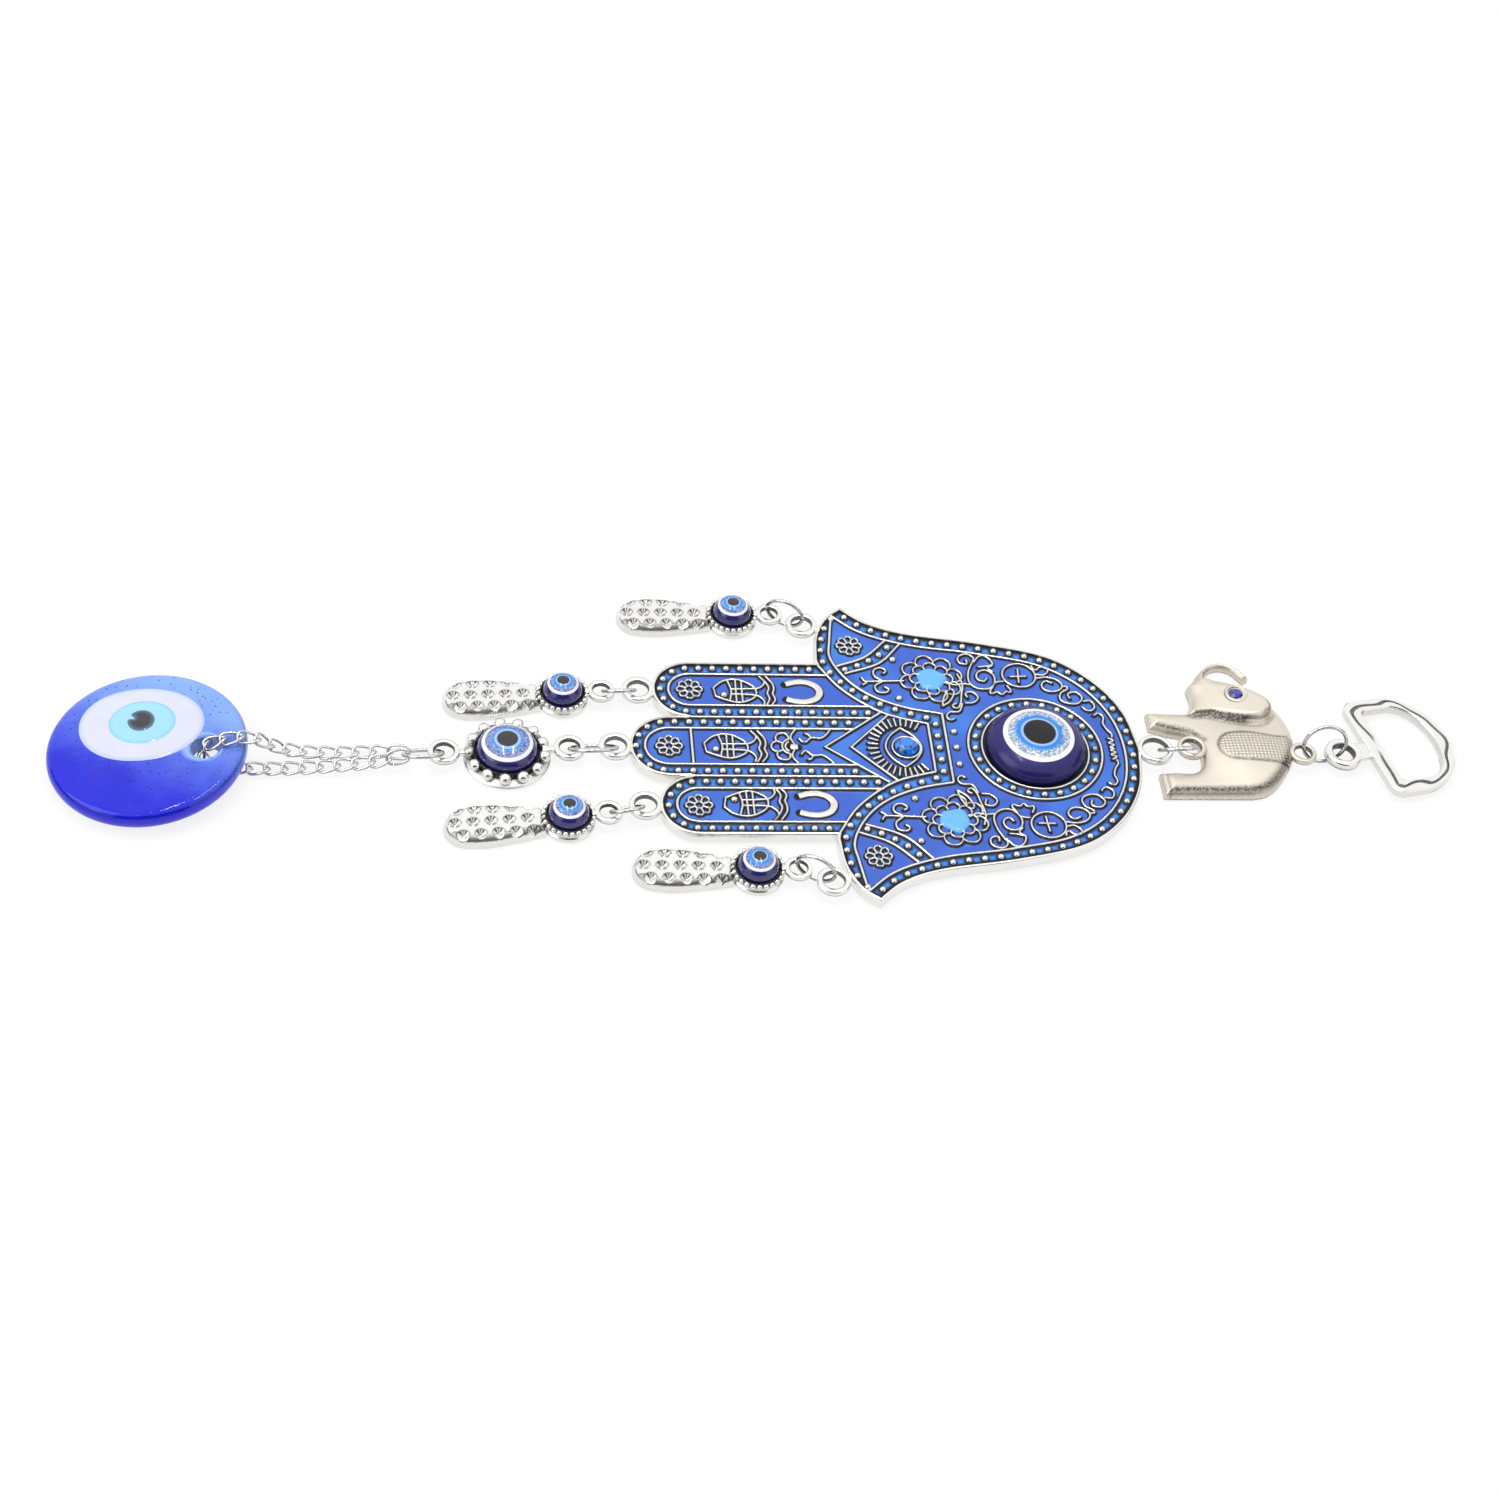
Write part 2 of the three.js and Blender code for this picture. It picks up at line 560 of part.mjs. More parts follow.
// One link: an oval of wire whose two ends are twisted opposite ways about its length
function linkGeometry(endTwist) {
  const length = LINK_INNER_L / 2 + LINK_WIRE;
  const width = LINK_INNER_W / 2 + LINK_WIRE;
  const full = (value) => Math.sign(value) * Math.abs(value) ** LINK_FULLNESS;
  const at = (turn) => {
    const twist = radians(endTwist * Math.cos(turn));
    const y = width * full(Math.sin(turn));
    return new THREE.Vector3(length * full(Math.cos(turn)), y * Math.cos(twist), -y * Math.sin(twist));
  };
  const positions = [];
  const index = [];
  for (let i = 0; i < LINK_STEPS; i++) {
    const turn = (i / LINK_STEPS) * 2 * Math.PI;
    const centre = at(turn);
    const along = at(turn + 0.01).sub(at(turn - 0.01)).normalize();
    const outward = centre.clone().addScaledVector(along, -centre.dot(along)).normalize();
    const across = along.clone().cross(outward);
    for (let j = 0; j < LINK_SIDES; j++) {
      const around = (j / LINK_SIDES) * 2 * Math.PI;
      const point = centre.clone();
      point.addScaledVector(outward, LINK_WIRE * Math.cos(around));
      point.addScaledVector(across, LINK_WIRE * Math.sin(around));
      positions.push(...point.toArray());
      const next = ((i + 1) % LINK_STEPS) * LINK_SIDES;
      const side = (j + 1) % LINK_SIDES;
      index.push(i * LINK_SIDES + j, next + side, next + j);
      index.push(i * LINK_SIDES + j, i * LINK_SIDES + side, next + side);
    }
  }
  const geometry = new THREE.BufferGeometry();
  geometry.setAttribute("position", new THREE.Float32BufferAttribute(positions, 3));
  geometry.setIndex(index);
  geometry.computeVertexNormals();
  return geometry;
}

const curbLink = linkGeometry(LINK_TWIST);
curbLink.computeBoundingBox();
const linkLie = LINK_CLEAR - curbLink.boundingBox.min.z;
const linkPitch = LINK_INNER_L - LINK_PLAY;
const discFlat = DISC_D / 2 - DISC_EDGE;
const holeOffset = DISC_D / 2 - HOLE_IN;

// Underside of the tilted disc at a distance behind the hole
function discUnder(behind) {
  return (holeOffset + discFlat - behind) * Math.sin(radians(DISC_TILT));
}

// Route of the chain from the ring, over the disc, down its hole and back below it
function chainRoute(holeAlong) {
  const lean = radians(CHAIN_RING.lean);
  const linkEnd = LINK_PLAY / 2 + LINK_WIRE;
  const hookShift = linkEnd - CHAIN_RING.wire - LINK_WIRE - RING_SLACK;
  const [low, high] = HOOK_ANGLES.map((angle) => {
    const across = CHAIN_RING.drop + CHAIN_RING.radius * Math.sin(radians(angle));
    const along = CHAIN_RING.radius * Math.cos(radians(angle)) + hookShift;
    return [along, across * Math.cos(lean), EYE_Z + across * Math.sin(lean)];
  });
  const rim = holeAlong - HOLE_IN;
  const over = (behind) => discUnder(behind) + DISC_T + linkLie;
  const bend = (over(0) - linkLie) / 2;
  const round = (angle) => [
    holeAlong + HOLE_PASS - bend + bend * Math.cos(radians(angle)),
    -STRAND * STRAND_DOWN * Math.sin(radians(angle)),
    linkLie + bend + bend * Math.sin(radians(angle)),
  ];
  const route = [
    low,
    [low[0] + CHAIN_SETTLE, -STRAND, linkLie + LINK_WIRE / 2],
    [rim - CHAIN_LIFT, -STRAND, linkLie + LINK_WIRE],
    [rim - CHAIN_CLIMB, -STRAND * 0.9, linkLie + DISC_T / 2],
    [rim - CHAIN_CREST, -STRAND * 0.5, over(-HOLE_IN)],
    [rim + CHAIN_LAID, -STRAND * STRAND_OVER, over(-HOLE_IN)],
    ...[90, 30, -30, -90].map(round),
    [rim + CHAIN_TUCKED, STRAND * STRAND_UNDER, linkLie],
    [rim - CHAIN_CLIMB, STRAND, linkLie],
    [rim - CHAIN_LIFT, STRAND, linkLie + LINK_WIRE],
    [high[0] + CHAIN_SETTLE, STRAND, (linkLie + high[2]) / 2],
    high,
  ];
  const line = new THREE.CatmullRomCurve3(route.map((p) => new THREE.Vector3(...p)), false, "centripetal");
  line.arcLengthDivisions = CHAIN_PARTS;
  return line;
}

// How far from the chain ring the hole lies, so that the links reach round
function chainReach() {
  const length = LINK_COUNT * linkPitch;
  let along = length / 2;
  for (let i = 0; i < CHAIN_TRIES; i++) along += (length - chainRoute(along).getLength()) / 2;
  return along;
}

const holeAlong = chainReach();

// Direction of the chain ring's wire where an end link sits
function wireAlong(angle) {
  const lean = radians(CHAIN_RING.lean);
  const turn = radians(angle);
  const across = Math.cos(turn);
  return new THREE.Vector3(-Math.sin(turn), across * Math.cos(lean), across * Math.sin(lean));
}

// A curb chain, with a flat link at each end that stands square to the ring's wire
function chain() {
  const group = new THREE.Group();
  const ends = chainRoute(holeAlong).getSpacedPoints(LINK_COUNT);
  const flatLink = linkGeometry(0);
  const [firstUp, lastUp] = HOOK_ANGLES.map(wireAlong);
  for (let i = 0; i < LINK_COUNT; i++) {
    const along = ends[i + 1].clone().sub(ends[i]).normalize();
    const hooked = i === 0 || i === LINK_COUNT - 1;
    const up = i === 0 ? firstUp : hooked ? lastUp : along.clone().cross(new THREE.Vector3(0, 1, 0));
    up.addScaledVector(along, -up.dot(along)).normalize();
    const side = up.clone().cross(along);
    const mesh = piece(`chain_link_${String(i + 1).padStart(2, "0")}`, hooked ? flatLink : curbLink, NICKEL);
    mesh.quaternion.setFromRotationMatrix(new THREE.Matrix4().makeBasis(along, side, up));
    mesh.position.copy(ends[i]).add(ends[i + 1]).multiplyScalar(0.5);
    group.add(mesh);
  }
  return group;
}

function discGeometry() {
  const profile = [[0, 0], [discFlat, 0]];
  for (const [middle, start] of [[DISC_EDGE, -Math.PI / 2], [DISC_T - DISC_EDGE, 0]]) {
    for (let step = 1; step <= DOME_STEPS; step++) {
      const angle = start + ((step - start / Math.PI) / (DOME_STEPS + 1)) * (Math.PI / 2);
      profile.push([discFlat + DISC_EDGE * Math.cos(angle), middle + DISC_EDGE * Math.sin(angle)]);
    }
  }
  profile.push([discFlat, DISC_T], [0, DISC_T]);
  const glass = new THREE.LatheGeometry(vectors(profile), 2 * ROUND_STEPS).rotateX(Math.PI / 2);
  const hole = disc(HOLE_D / 2, -DISC_T, 2 * DISC_T).translate(-holeOffset, 0, 0);
  return cut(glass, [hole]);
}

function glassEye() {
  const turned = placed(DISC_AT - CHAIN_AT, holeAlong, 0);
  turned.position.z = discUnder(0);
  const tilted = new THREE.Group();
  tilted.rotation.y = radians(DISC_TILT);
  const mesh = piece("glass_eye", discGeometry(), COBALT_GLASS);
  mesh.position.x = holeOffset;
  tilted.add(mesh);
  turned.add(tilted);
  return turned;
}

function pendant() {
  const from = handEyes.middle.at;
  const hung = hangRing("middle_ring", MIDDLE_RING, MIDDLE_RING_AT, from, FINGER_EYE, CONNECTOR_EYE, EYE_Z);
  const group = placed(CONNECTOR_AT, hung.next.x, hung.next.y);
  const stone = piece("connector_eye", dome(CONNECTOR_STONE_D, CONNECTOR_STONE_H), EYE_RESIN);
  stone.position.set(CONNECTOR_CUP_AT, 0, CONNECTOR_SEAT_Z + GLUE);
  group.add(piece("connector", connectorBody(), SILVER), stone);
  const lower = polar(CONNECTOR_LENGTH, CONNECTOR_AT).add(hung.next);
  const chained = hangRing("chain_ring", CHAIN_RING, CHAIN_AT, lower, CONNECTOR_EYE, CONNECTOR_EYE, EYE_Z);
  const drop = placed(CHAIN_AT, chained.middle.x, chained.middle.y);
  drop.add(chain(), glassEye());
  return [hung.seat, group, chained.seat, drop];
}

// Elephant and hanger

function elephantOutline() {
  return [
    [LEG_END, FRONT_FOOT[1]],
    [LEG_END, FRONT_FOOT[0]],
    ...curve(FRONT_LEG),
    ...curve(REAR_LEG.slice().reverse()),
    [LEG_END, REAR_FOOT[1]],
    [LEG_END, REAR_FOOT[0]],
    ...curve([...RUMP.slice().reverse(), ...ELEPHANT_BACK.slice().reverse()]),
    ...curve(TRUNK_INNER.slice().reverse()),
    ...curve(TRUNK_OUTER.slice().reverse()),
    ...curve(CHEST.slice().reverse()),
  ];
}

function swell({ at, size }) {
  const [x, y, z] = size;
  const ball = new THREE.SphereGeometry(1, 14, 6).rotateX(Math.PI / 2);
  return ball.scale(x, y, z).translate(...at, ELEPHANT_T - SWELL_ROOT);
}

function elephantBody() {
  const base = slab(elephantOutline(), 0, ELEPHANT_T);
  const setting = disc(BROW_SETTING_D / 2, ELEPHANT_T / 2, BROW_SETTING_Z).translate(...BROW, 0);
  const swells = [BODY_SWELL, EAR_SWELL, FRONT_LEG_SWELL, REAR_LEG_SWELL].map(swell);
  const eyes = [wireEye(BELLY_EYE, EYE_Z), wireEye(BACK_EYE, EYE_Z).translate(...BACK_EYE_AT, 0)];
  const seatZ = BROW_SETTING_Z - BROW_SEAT_DEPTH;
  const stoneSeat = disc(BROW_STONE_D / 2 + SEAT_SLACK, seatZ, 2 * BROW_SETTING_Z).translate(...BROW, 0);
  return cut(onTable(join([base, ...swells, setting, ...eyes])), [stoneSeat]);
}

function roundedD(bar, end, half, corner) {
  const shape = new THREE.Shape();
  const straight = bar + HANGER_STRAIGHT;
  shape.moveTo(bar + corner, -half);
  shape.lineTo(straight, -half);
  shape.absellipse(straight, 0, end - straight, half, -Math.PI / 2, Math.PI / 2, false);
  shape.lineTo(bar + corner, half);
  shape.absarc(bar + corner, half - corner, corner, Math.PI / 2, Math.PI, false);
  shape.absarc(bar + corner, -half + corner, corner, Math.PI, 1.5 * Math.PI, false);
  return shape;
}

function hangerBody() {
  const end = HANGER_BAR_AT + HANGER_DEPTH;
  const half = HANGER_W / 2;
  const shape = roundedD(HANGER_BAR_AT, end, half, HANGER_CORNER);
  const innerBar = HANGER_BAR_AT + HANGER_BAND;
  shape.holes.push(roundedD(innerBar, end - HANGER_BAND, half - HANGER_BAND, HANGER_CORNER / 2));
  const sheet = { depth: HANGER_T, bevelEnabled: false, curveSegments: ROUND_STEPS / 2 };
  const bow = new THREE.ExtrudeGeometry(shape, sheet).translate(0, 0, -HANGER_T / 2);
  const stem = HANGER_BAR_AT - HANGER_EYE.radius + HANGER_BAND / 2;
  const bridge = new THREE.BoxGeometry(stem, HANGER_NECK_W, 2 * HANGER_EYE.wire);
  bridge.translate(HANGER_EYE.radius + stem / 2, 0, 0);
  return join([bow, bridge, wireEye(HANGER_EYE, 0)]);
}

// The hanger's eye lies on its ring, so the bow slopes down to the table
function hanger() {
  const mesh = piece("hanger", hangerBody(), SILVER);
  mesh.position.z = EYE_Z;
  mesh.rotation.y = Math.asin((EYE_Z - HANGER_T / 2) / (HANGER_BAR_AT + HANGER_DEPTH));
  return mesh;
}

function crown() {
  const from = handEyes.wrist.at;
  const belly = hangRing("wrist_ring", WRIST_RING, ELEPHANT_RING_AT, from, WRIST_EYE, BELLY_EYE, EYE_Z);
  const animal = placed(0, belly.next.x, belly.next.y);
  const stone = piece("elephant_stone", brilliant(BROW_STONE_D, BROW_STONE_H), CRYSTAL);
  stone.position.set(...BROW, BROW_SETTING_Z - BROW_SEAT_DEPTH + GLUE);
  animal.add(piece("elephant", elephantBody(), WARM_SILVER), stone);
  const back = new THREE.Vector2(...BACK_EYE_AT).add(belly.next);
  const top = hangRing("hanger_ring", HANGER_RING, HANGER_RING_AT, back, BACK_EYE, HANGER_EYE, EYE_Z);
  const holder = placed(HANGER_AT, top.next.x, top.next.y);
  holder.add(hanger());
  return [belly.seat, animal, top.seat, holder];
}

const ornament = new THREE.Group();
ornament.name = "evil_eye_hanging";
ornament.add(
  hand(),
  ...dangle("far_thumb", handEyes.farThumb.at, THUMB_RING, FAR_THUMB_RING_AT, FAR_THUMB_AT),
  ...dangle("index", handEyes.index.at, SMALL_RING, INDEX_RING_AT, INDEX_AT),
  ...dangle("ring_finger", handEyes.ringFinger.at, SMALL_RING, RING_FINGER_RING_AT, RING_FINGER_AT),
  ...dangle("near_thumb", handEyes.nearThumb.at, THUMB_RING, NEAR_THUMB_RING_AT, NEAR_THUMB_AT),
  ...pendant(),
  ...crown(),
);

export default ornament;
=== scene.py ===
"""Looks of a hanging ornament: an enamelled hand, an elephant, feather dangles, a chain and a glass eye."""

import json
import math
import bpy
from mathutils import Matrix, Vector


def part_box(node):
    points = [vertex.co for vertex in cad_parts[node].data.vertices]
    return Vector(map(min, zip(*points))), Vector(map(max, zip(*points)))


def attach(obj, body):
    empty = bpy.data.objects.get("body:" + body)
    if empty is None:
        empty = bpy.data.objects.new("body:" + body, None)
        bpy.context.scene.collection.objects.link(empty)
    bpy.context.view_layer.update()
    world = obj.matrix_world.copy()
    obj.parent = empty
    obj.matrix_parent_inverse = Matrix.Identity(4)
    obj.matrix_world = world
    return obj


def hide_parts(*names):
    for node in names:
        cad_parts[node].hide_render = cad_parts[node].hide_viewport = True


bl_info = {
    "name": "Evil Eye Hanging Ornament",
    "version": (1, 0, 0),
    "blender": (4, 5, 0),
    "location": "3D View > Sidebar > Ornament",
    "description": "Dresses the packed ornament in enamel, silver, resin and glass",
    "category": "Object",
}

import bmesh
import bpy
import numpy as np
from bpy.props import FloatProperty, FloatVectorProperty, IntProperty, PointerProperty
from mathutils import Matrix, Vector
from mathutils.geometry import delaunay_2d_cdt
from mathutils.kdtree import KDTree

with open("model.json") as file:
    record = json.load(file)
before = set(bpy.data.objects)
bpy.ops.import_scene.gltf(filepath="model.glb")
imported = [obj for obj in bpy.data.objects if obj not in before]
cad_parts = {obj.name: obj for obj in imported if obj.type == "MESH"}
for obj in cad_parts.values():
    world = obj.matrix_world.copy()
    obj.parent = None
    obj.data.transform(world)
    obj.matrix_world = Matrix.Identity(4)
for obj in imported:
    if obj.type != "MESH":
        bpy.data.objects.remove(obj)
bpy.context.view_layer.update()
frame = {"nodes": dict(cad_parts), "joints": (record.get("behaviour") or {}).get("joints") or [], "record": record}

# Every shape is drawn in mm and its mesh is made in metres
MM = 0.001
JOINTS = {joint["name"]: joint for joint in frame["joints"]}
DANGLES = ("far_thumb", "index", "ring_finger", "near_thumb")
UP = np.array((0.0, 0.0, 1.0))

# Hand: heights above the table
PLATE_TOP = 2.8
ENAMEL_Z = 2.35
RIM = 0.8
EYE_Z = 2.25
# Cast eyes: how much taller than round wire, how near a box their section is, and the necks that hold them
EYE_TALL = 1.5
EYE_SQUARE = 0.7
EYE_STEPS = 40
NECK_WIDE = 1.5
NECK_THICK = 1.2
SECTION_SIDES = 16
# The hand's drawing is measured from a line across the fingers, this far from the palm eye's middle
DRAWING_X = 63.0


def unit(vector):
    vector = np.asarray(vector, float)
    return vector / np.linalg.norm(vector)


def srgb(red, green, blue):
    """A colour of 0 to 255 steps, as the shader wants it."""
    steps = np.array((red, green, blue)) / 255
    return tuple(np.where(steps <= 0.04045, steps / 12.92, ((steps + 0.055) / 1.055) ** 2.4))


def joint_place(name):
    """Where a joint turns, in mm, and its axis."""
    return np.array(JOINTS[name]["pos_m"]) / MM, unit(JOINTS[name]["axis"])


def node_points(node):
    mesh = frame["nodes"][node].data
    points = np.empty(3 * len(mesh.vertices), np.float32)
    mesh.vertices.foreach_get("co", points)
    return points.reshape(-1, 3).astype(float) / MM


def node_middle(node):
    low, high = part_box(node)
    return np.array((low + high) / 2) / MM


def lay(points, origin, along, up=UP):
    """Local points set down at an origin, with their x along one direction and their z up another."""
    up = unit(up)
    along = unit(np.asarray(along) - np.dot(along, up) * up)
    return np.asarray(points) @ np.array((along, np.cross(up, along), up)) + origin


# Outlines


def arc(centre, radius, start, sweep, steps=24, squash=1.0):
    turn = np.radians(start + sweep * np.linspace(0, 1, steps + 1))
    return np.stack((centre[0] + radius * np.cos(turn), centre[1] + squash * radius * np.sin(turn)), 1)


def circle(centre, radius, steps=48):
    return arc(centre, radius, 0, 360, steps)[:-1]


def smooth_line(points, step=0.4, closed=False):
    """A line rounded through points; a stretch much longer than its neighbour stays straight."""
    points = np.asarray(points, float)
    spans = np.roll(points, -1, axis=0) - points
    if not closed:
        spans[-1] = spans[-2]
    length = np.linalg.norm(spans, axis=1)
    heading = spans / length[:, None]
    before, before_length = np.roll(heading, 1, axis=0), np.roll(length, 1)
    tangent = heading + before
    tangent[length > 2.5 * before_length] = heading[length > 2.5 * before_length]
    tangent[before_length > 2.5 * length] = before[before_length > 2.5 * length]
    if not closed:
        tangent[0], tangent[-1] = heading[0], heading[-2]
    tangent /= np.maximum(np.linalg.norm(tangent, axis=1), 1e-9)[:, None]
    found = []
    for i in range(len(points) if closed else len(points) - 1):
        j = (i + 1) % len(points)
        t = np.linspace(0, 1, max(2, 1 + round(length[i] / step)))[:-1, None]
        bulge = (t**3 - 2 * t**2 + t) * tangent[i] + (t**3 - t**2) * tangent[j]
        ease = 3 * t**2 - 2 * t**3
        found.append(points[i] * (1 - ease) + points[j] * ease + length[i] * bulge)
    if not closed:
        found.append(points[-1:])
    return np.concatenate(found)


def base_outline(node, step, corner=35):
    """The outline that a CAD node stands on, counter-clockwise, with curves rounded and corners kept."""
    points = np.round(node_points(node), 3)
    low = points[:, 2].min() + 0.02
    edges = set()
    for face in frame["nodes"][node].data.polygons:
        ring = [tuple(points[i]) for i in face.vertices]
        if all(p[2] < low for p in ring):
            edges.update(zip(ring, ring[1:] + ring[:1]))
    after = {a[:2]: b[:2] for a, b in edges if (b, a) not in edges}
    loops = []
    while after:
        start, point = after.popitem()
        loop = [start]
        while point != start:
            loop.append(point)
            point = after.pop(point)
        loops.append(np.array(loop[::-1]))
    loop = max(loops, key=lambda ring: np.ptp(ring[:, 0]))
    ahead = np.roll(loop, -1, axis=0) - loop
    turn = np.degrees(np.arctan2(ahead[:, 1], ahead[:, 0]))
    turn = (turn - np.roll(turn, 1) + 180) % 360 - 180
    corners = np.flatnonzero(np.abs(turn) > corner)
    if len(corners) == 0:
        return smooth_line(loop, step, closed=True)
    loop = np.roll(loop, -corners[0], axis=0)
    stops = [*(corners - corners[0]), len(loop)]
    ring = np.concatenate((loop, loop[:1]))
    parts = [smooth_line(ring[a : b + 1], step)[:-1] for a, b in zip(stops, stops[1:])]
    return np.concatenate(parts)


def inset(loop, distance):
    """A closed counter-clockwise line moved towards its inside, and cut short where it would cross itself."""
    if distance == 0:
        return loop
    ahead = np.roll(loop, -1, axis=0) - loop
    ahead /= np.linalg.norm(ahead, axis=1)[:, None]
    normal = np.stack((-ahead[:, 1], ahead[:, 0]), 1)
    middle = normal + np.roll(normal, 1, axis=0)
    middle /= np.maximum(np.linalg.norm(middle, axis=1), 1e-6)[:, None]
    stretch = 1 / np.maximum((middle * normal).sum(1), 0.4)
    moved = loop + middle * (distance * stretch)[:, None]
    clear = gap_to(moved, [ring_of(loop)]) > 0.97 * abs(distance)
    steps = np.arange(len(loop))
    return np.stack([np.interp(steps, steps[clear], moved[clear, i], period=len(loop)) for i in (0, 1)], 1)


def inside(points, loop):
    found = np.zeros(len(points), bool)
    x, y = points[:, 0], points[:, 1]
    for (ax, ay), (bx, by) in zip(loop, np.roll(loop, -1, axis=0)):
        if ay != by:
            found ^= ((ay > y) != (by > y)) & (x < (bx - ax) * (y - ay) / (by - ay) + ax)
    return found


def gap_to(points, lines, step=0.12):
    """Distance from flat points to the nearest of some lines."""
    marks = np.concatenate([dense(line, step) for line in lines])
    tree = KDTree(len(marks))
    for i, (x, y) in enumerate(marks):
        tree.insert((x, y, 0), i)
    tree.balance()
    return np.array([tree.find((x, y, 0))[2] for x, y in points])


def dense(line, step):
    """A line's points, with more put between those that are far apart."""
    found = [line[:1]]
    for a, b in zip(line[:-1], line[1:]):
        parts = max(1, math.ceil(np.linalg.norm(b - a) / step))
        found.append(a + (b - a) * (np.arange(1, parts + 1) / parts)[:, None])
    return np.concatenate(found)


def ring_of(loop):
    return np.concatenate((loop, loop[:1]))


def rise(value, start, end):
    """A soft step from 0 at start to 1 at end."""
    t = np.clip((value - start) / (end - start), 0, 1)
    return t * t * (3 - 2 * t)


def bulge(depth, reach):
    """A quarter round: 0 at an edge and 1 from a reach inside it."""
    return np.sqrt(1 - (1 - np.clip(depth / reach, 0, 1)) ** 2)


# Closed shapes, as points and faces


def bridged(loops, closed=False):
    """Loops of equal length joined by faces; the first and the last are joined too when closed."""
    size = len(loops[0])
    faces = []
    for row in range(len(loops) if closed else len(loops) - 1):
        a, b = row * size, (row + 1) % len(loops) * size
        faces += [(a + i, a + (i + 1) % size, b + (i + 1) % size, b + i) for i in range(size)]
    return np.concatenate(loops), faces


def filled(loop):
    """Triangles of a flat closed line, counter-clockwise."""
    size = len(loop)
    edges = [(i, (i + 1) % size) for i in range(size)]
    found = delaunay_2d_cdt([Vector(p[:2]) for p in loop], edges, [], 1, 1e-7)
    back = {i: olds[0] for i, olds in enumerate(found[3]) if olds}
    return [tuple(back[i] for i in face) for face in found[2]]


def loft(loops):
    """A body through flat loops from the lowest to the highest, capped at both ends."""
    points, faces = bridged(loops)
    top = len(points) - len(loops[-1])
    faces += [face[::-1] for face in filled(loops[0])]
    faces += [tuple(top + i for i in face) for face in filled(loops[-1])]
    return points, faces


def at_height(loop, z):
    return np.column_stack((loop, np.full(len(loop), z)))


def relief(outline, step, height, bottom=0.0, held=()):
    """A body over a flat outline; its top, a net with held points, is lifted to height(points, depth)."""
    low, high = outline.min(0), outline.max(0)
    rows = np.arange(low[1] + step / 2, high[1], step * 0.87)
    columns = np.arange(low[0], high[0], step)
    net = np.concatenate([at_height(columns[:, None] + step / 2 * (i % 2), y) for i, y in enumerate(rows)])
    net = net[inside(net, outline)]
    net = net[gap_to(net, [ring_of(outline)], step) > 0.6 * step]
    if len(held):
        net = np.concatenate((net[gap_to(net, [held], 99) > 0.5 * step], held))
    size = len(outline)
    edges = [(i, (i + 1) % size) for i in range(size)]
    spots = [Vector(p) for p in np.concatenate((outline, net))]
    found = delaunay_2d_cdt(spots, edges, [], 1, 1e-7)
    flat = np.array([tuple(p) for p in found[0]])
    faces = [tuple(face) for face in found[2]]
    depth = np.zeros(len(flat))
    depth[size:] = gap_to(flat[size:], [ring_of(outline)])
    top = np.column_stack((flat, height(flat, depth)))
    low_ring = at_height(flat[:size], bottom)
    first = len(flat)
    for i in range(size):
        j = (i + 1) % size
        faces.append((j, i, first + i, first + j))
    faces += [tuple(first + i for i in face[::-1]) for face in filled(outline)]
    return np.concatenate((top, low_ring)), faces


def with_base(shape, values, low=0.0):
    """The values at a relief's top, with one value added for its lower edge."""
    return np.concatenate((values, np.full(len(shape[0]) - len(values), low)))


def turned(profile, steps):
    """Loops about z, one for each radius and height of a profile."""
    turn = np.linspace(0, 2 * np.pi, steps, endpoint=False)
    return [np.column_stack((r * np.cos(turn), r * np.sin(turn), np.full(steps, z))) for r, z in profile]


def lathe(profile, steps=48):
    """A profile of radius and height, from the axis below to the axis above, turned about z."""
    points, faces = bridged(turned(profile[1:-1], steps))
    last = len(points)
    points = np.concatenate((points, [(0, 0, profile[0][1]), (0, 0, profile[-1][1])]))
    top = last - steps
    faces += [((i + 1) % steps, i, last) for i in range(steps)]
    faces += [(top + i, top + (i + 1) % steps, last + 1) for i in range(steps)]
    return points, faces


def turned_ring(profile, steps=64):
    """A closed profile of radius and height, counter-clockwise, turned about z."""
    return bridged(turned(profile, steps), closed=True)


def squared(half_width, half_height, power):
    """A closed section that is an ellipse at power 1 and nearer a box at less."""
    x, y = circle((0, 0), 1, SECTION_SIDES).T
    wide = half_width * np.sign(x) * np.abs(x) ** power
    return np.stack((wide, half_height * np.sign(y) * np.abs(y) ** power), 1)


def cast_eye(radius, wire, wide):
    """A cast ring, wider outwards than round wire, with a flat face and a wall."""
    half = wire * (1 + wide / 2)
    section = squared(half, EYE_TALL * wire, EYE_SQUARE) + (radius - wire + half, 0)
    return turned_ring(section, EYE_STEPS)


def eye_shade():
    """A cast eye's shade: dark inside the ring and low on its outer wall."""
    across, up = circle((0, 0), 1, SECTION_SIDES).T
    wall = np.where((across > 0.2) & (up < -0.2), 0.5, 0)
    return np.repeat(np.where(across < -0.5, 0.75, wall), EYE_STEPS)


def stem(start, end, z, width=NECK_WIDE, thick=NECK_THICK):
    """A rounded bar along x."""
    section = squared(width / 2, thick / 2, 0.5) + (0, z)
    loops = [np.column_stack((np.full(len(section), x), section)) for x in np.linspace(start, end, 5)]
    points, faces = bridged(loops)
    size = len(section)
    faces.append(tuple(range(size))[::-1])
    faces.append(tuple(len(points) - size + i for i in range(size)))
    return points, faces


def placed(shape, origin, along=(1.0, 0.0, 0.0), up=UP):
    points, faces = shape
    return lay(points, origin, along, up), faces


# Pieces


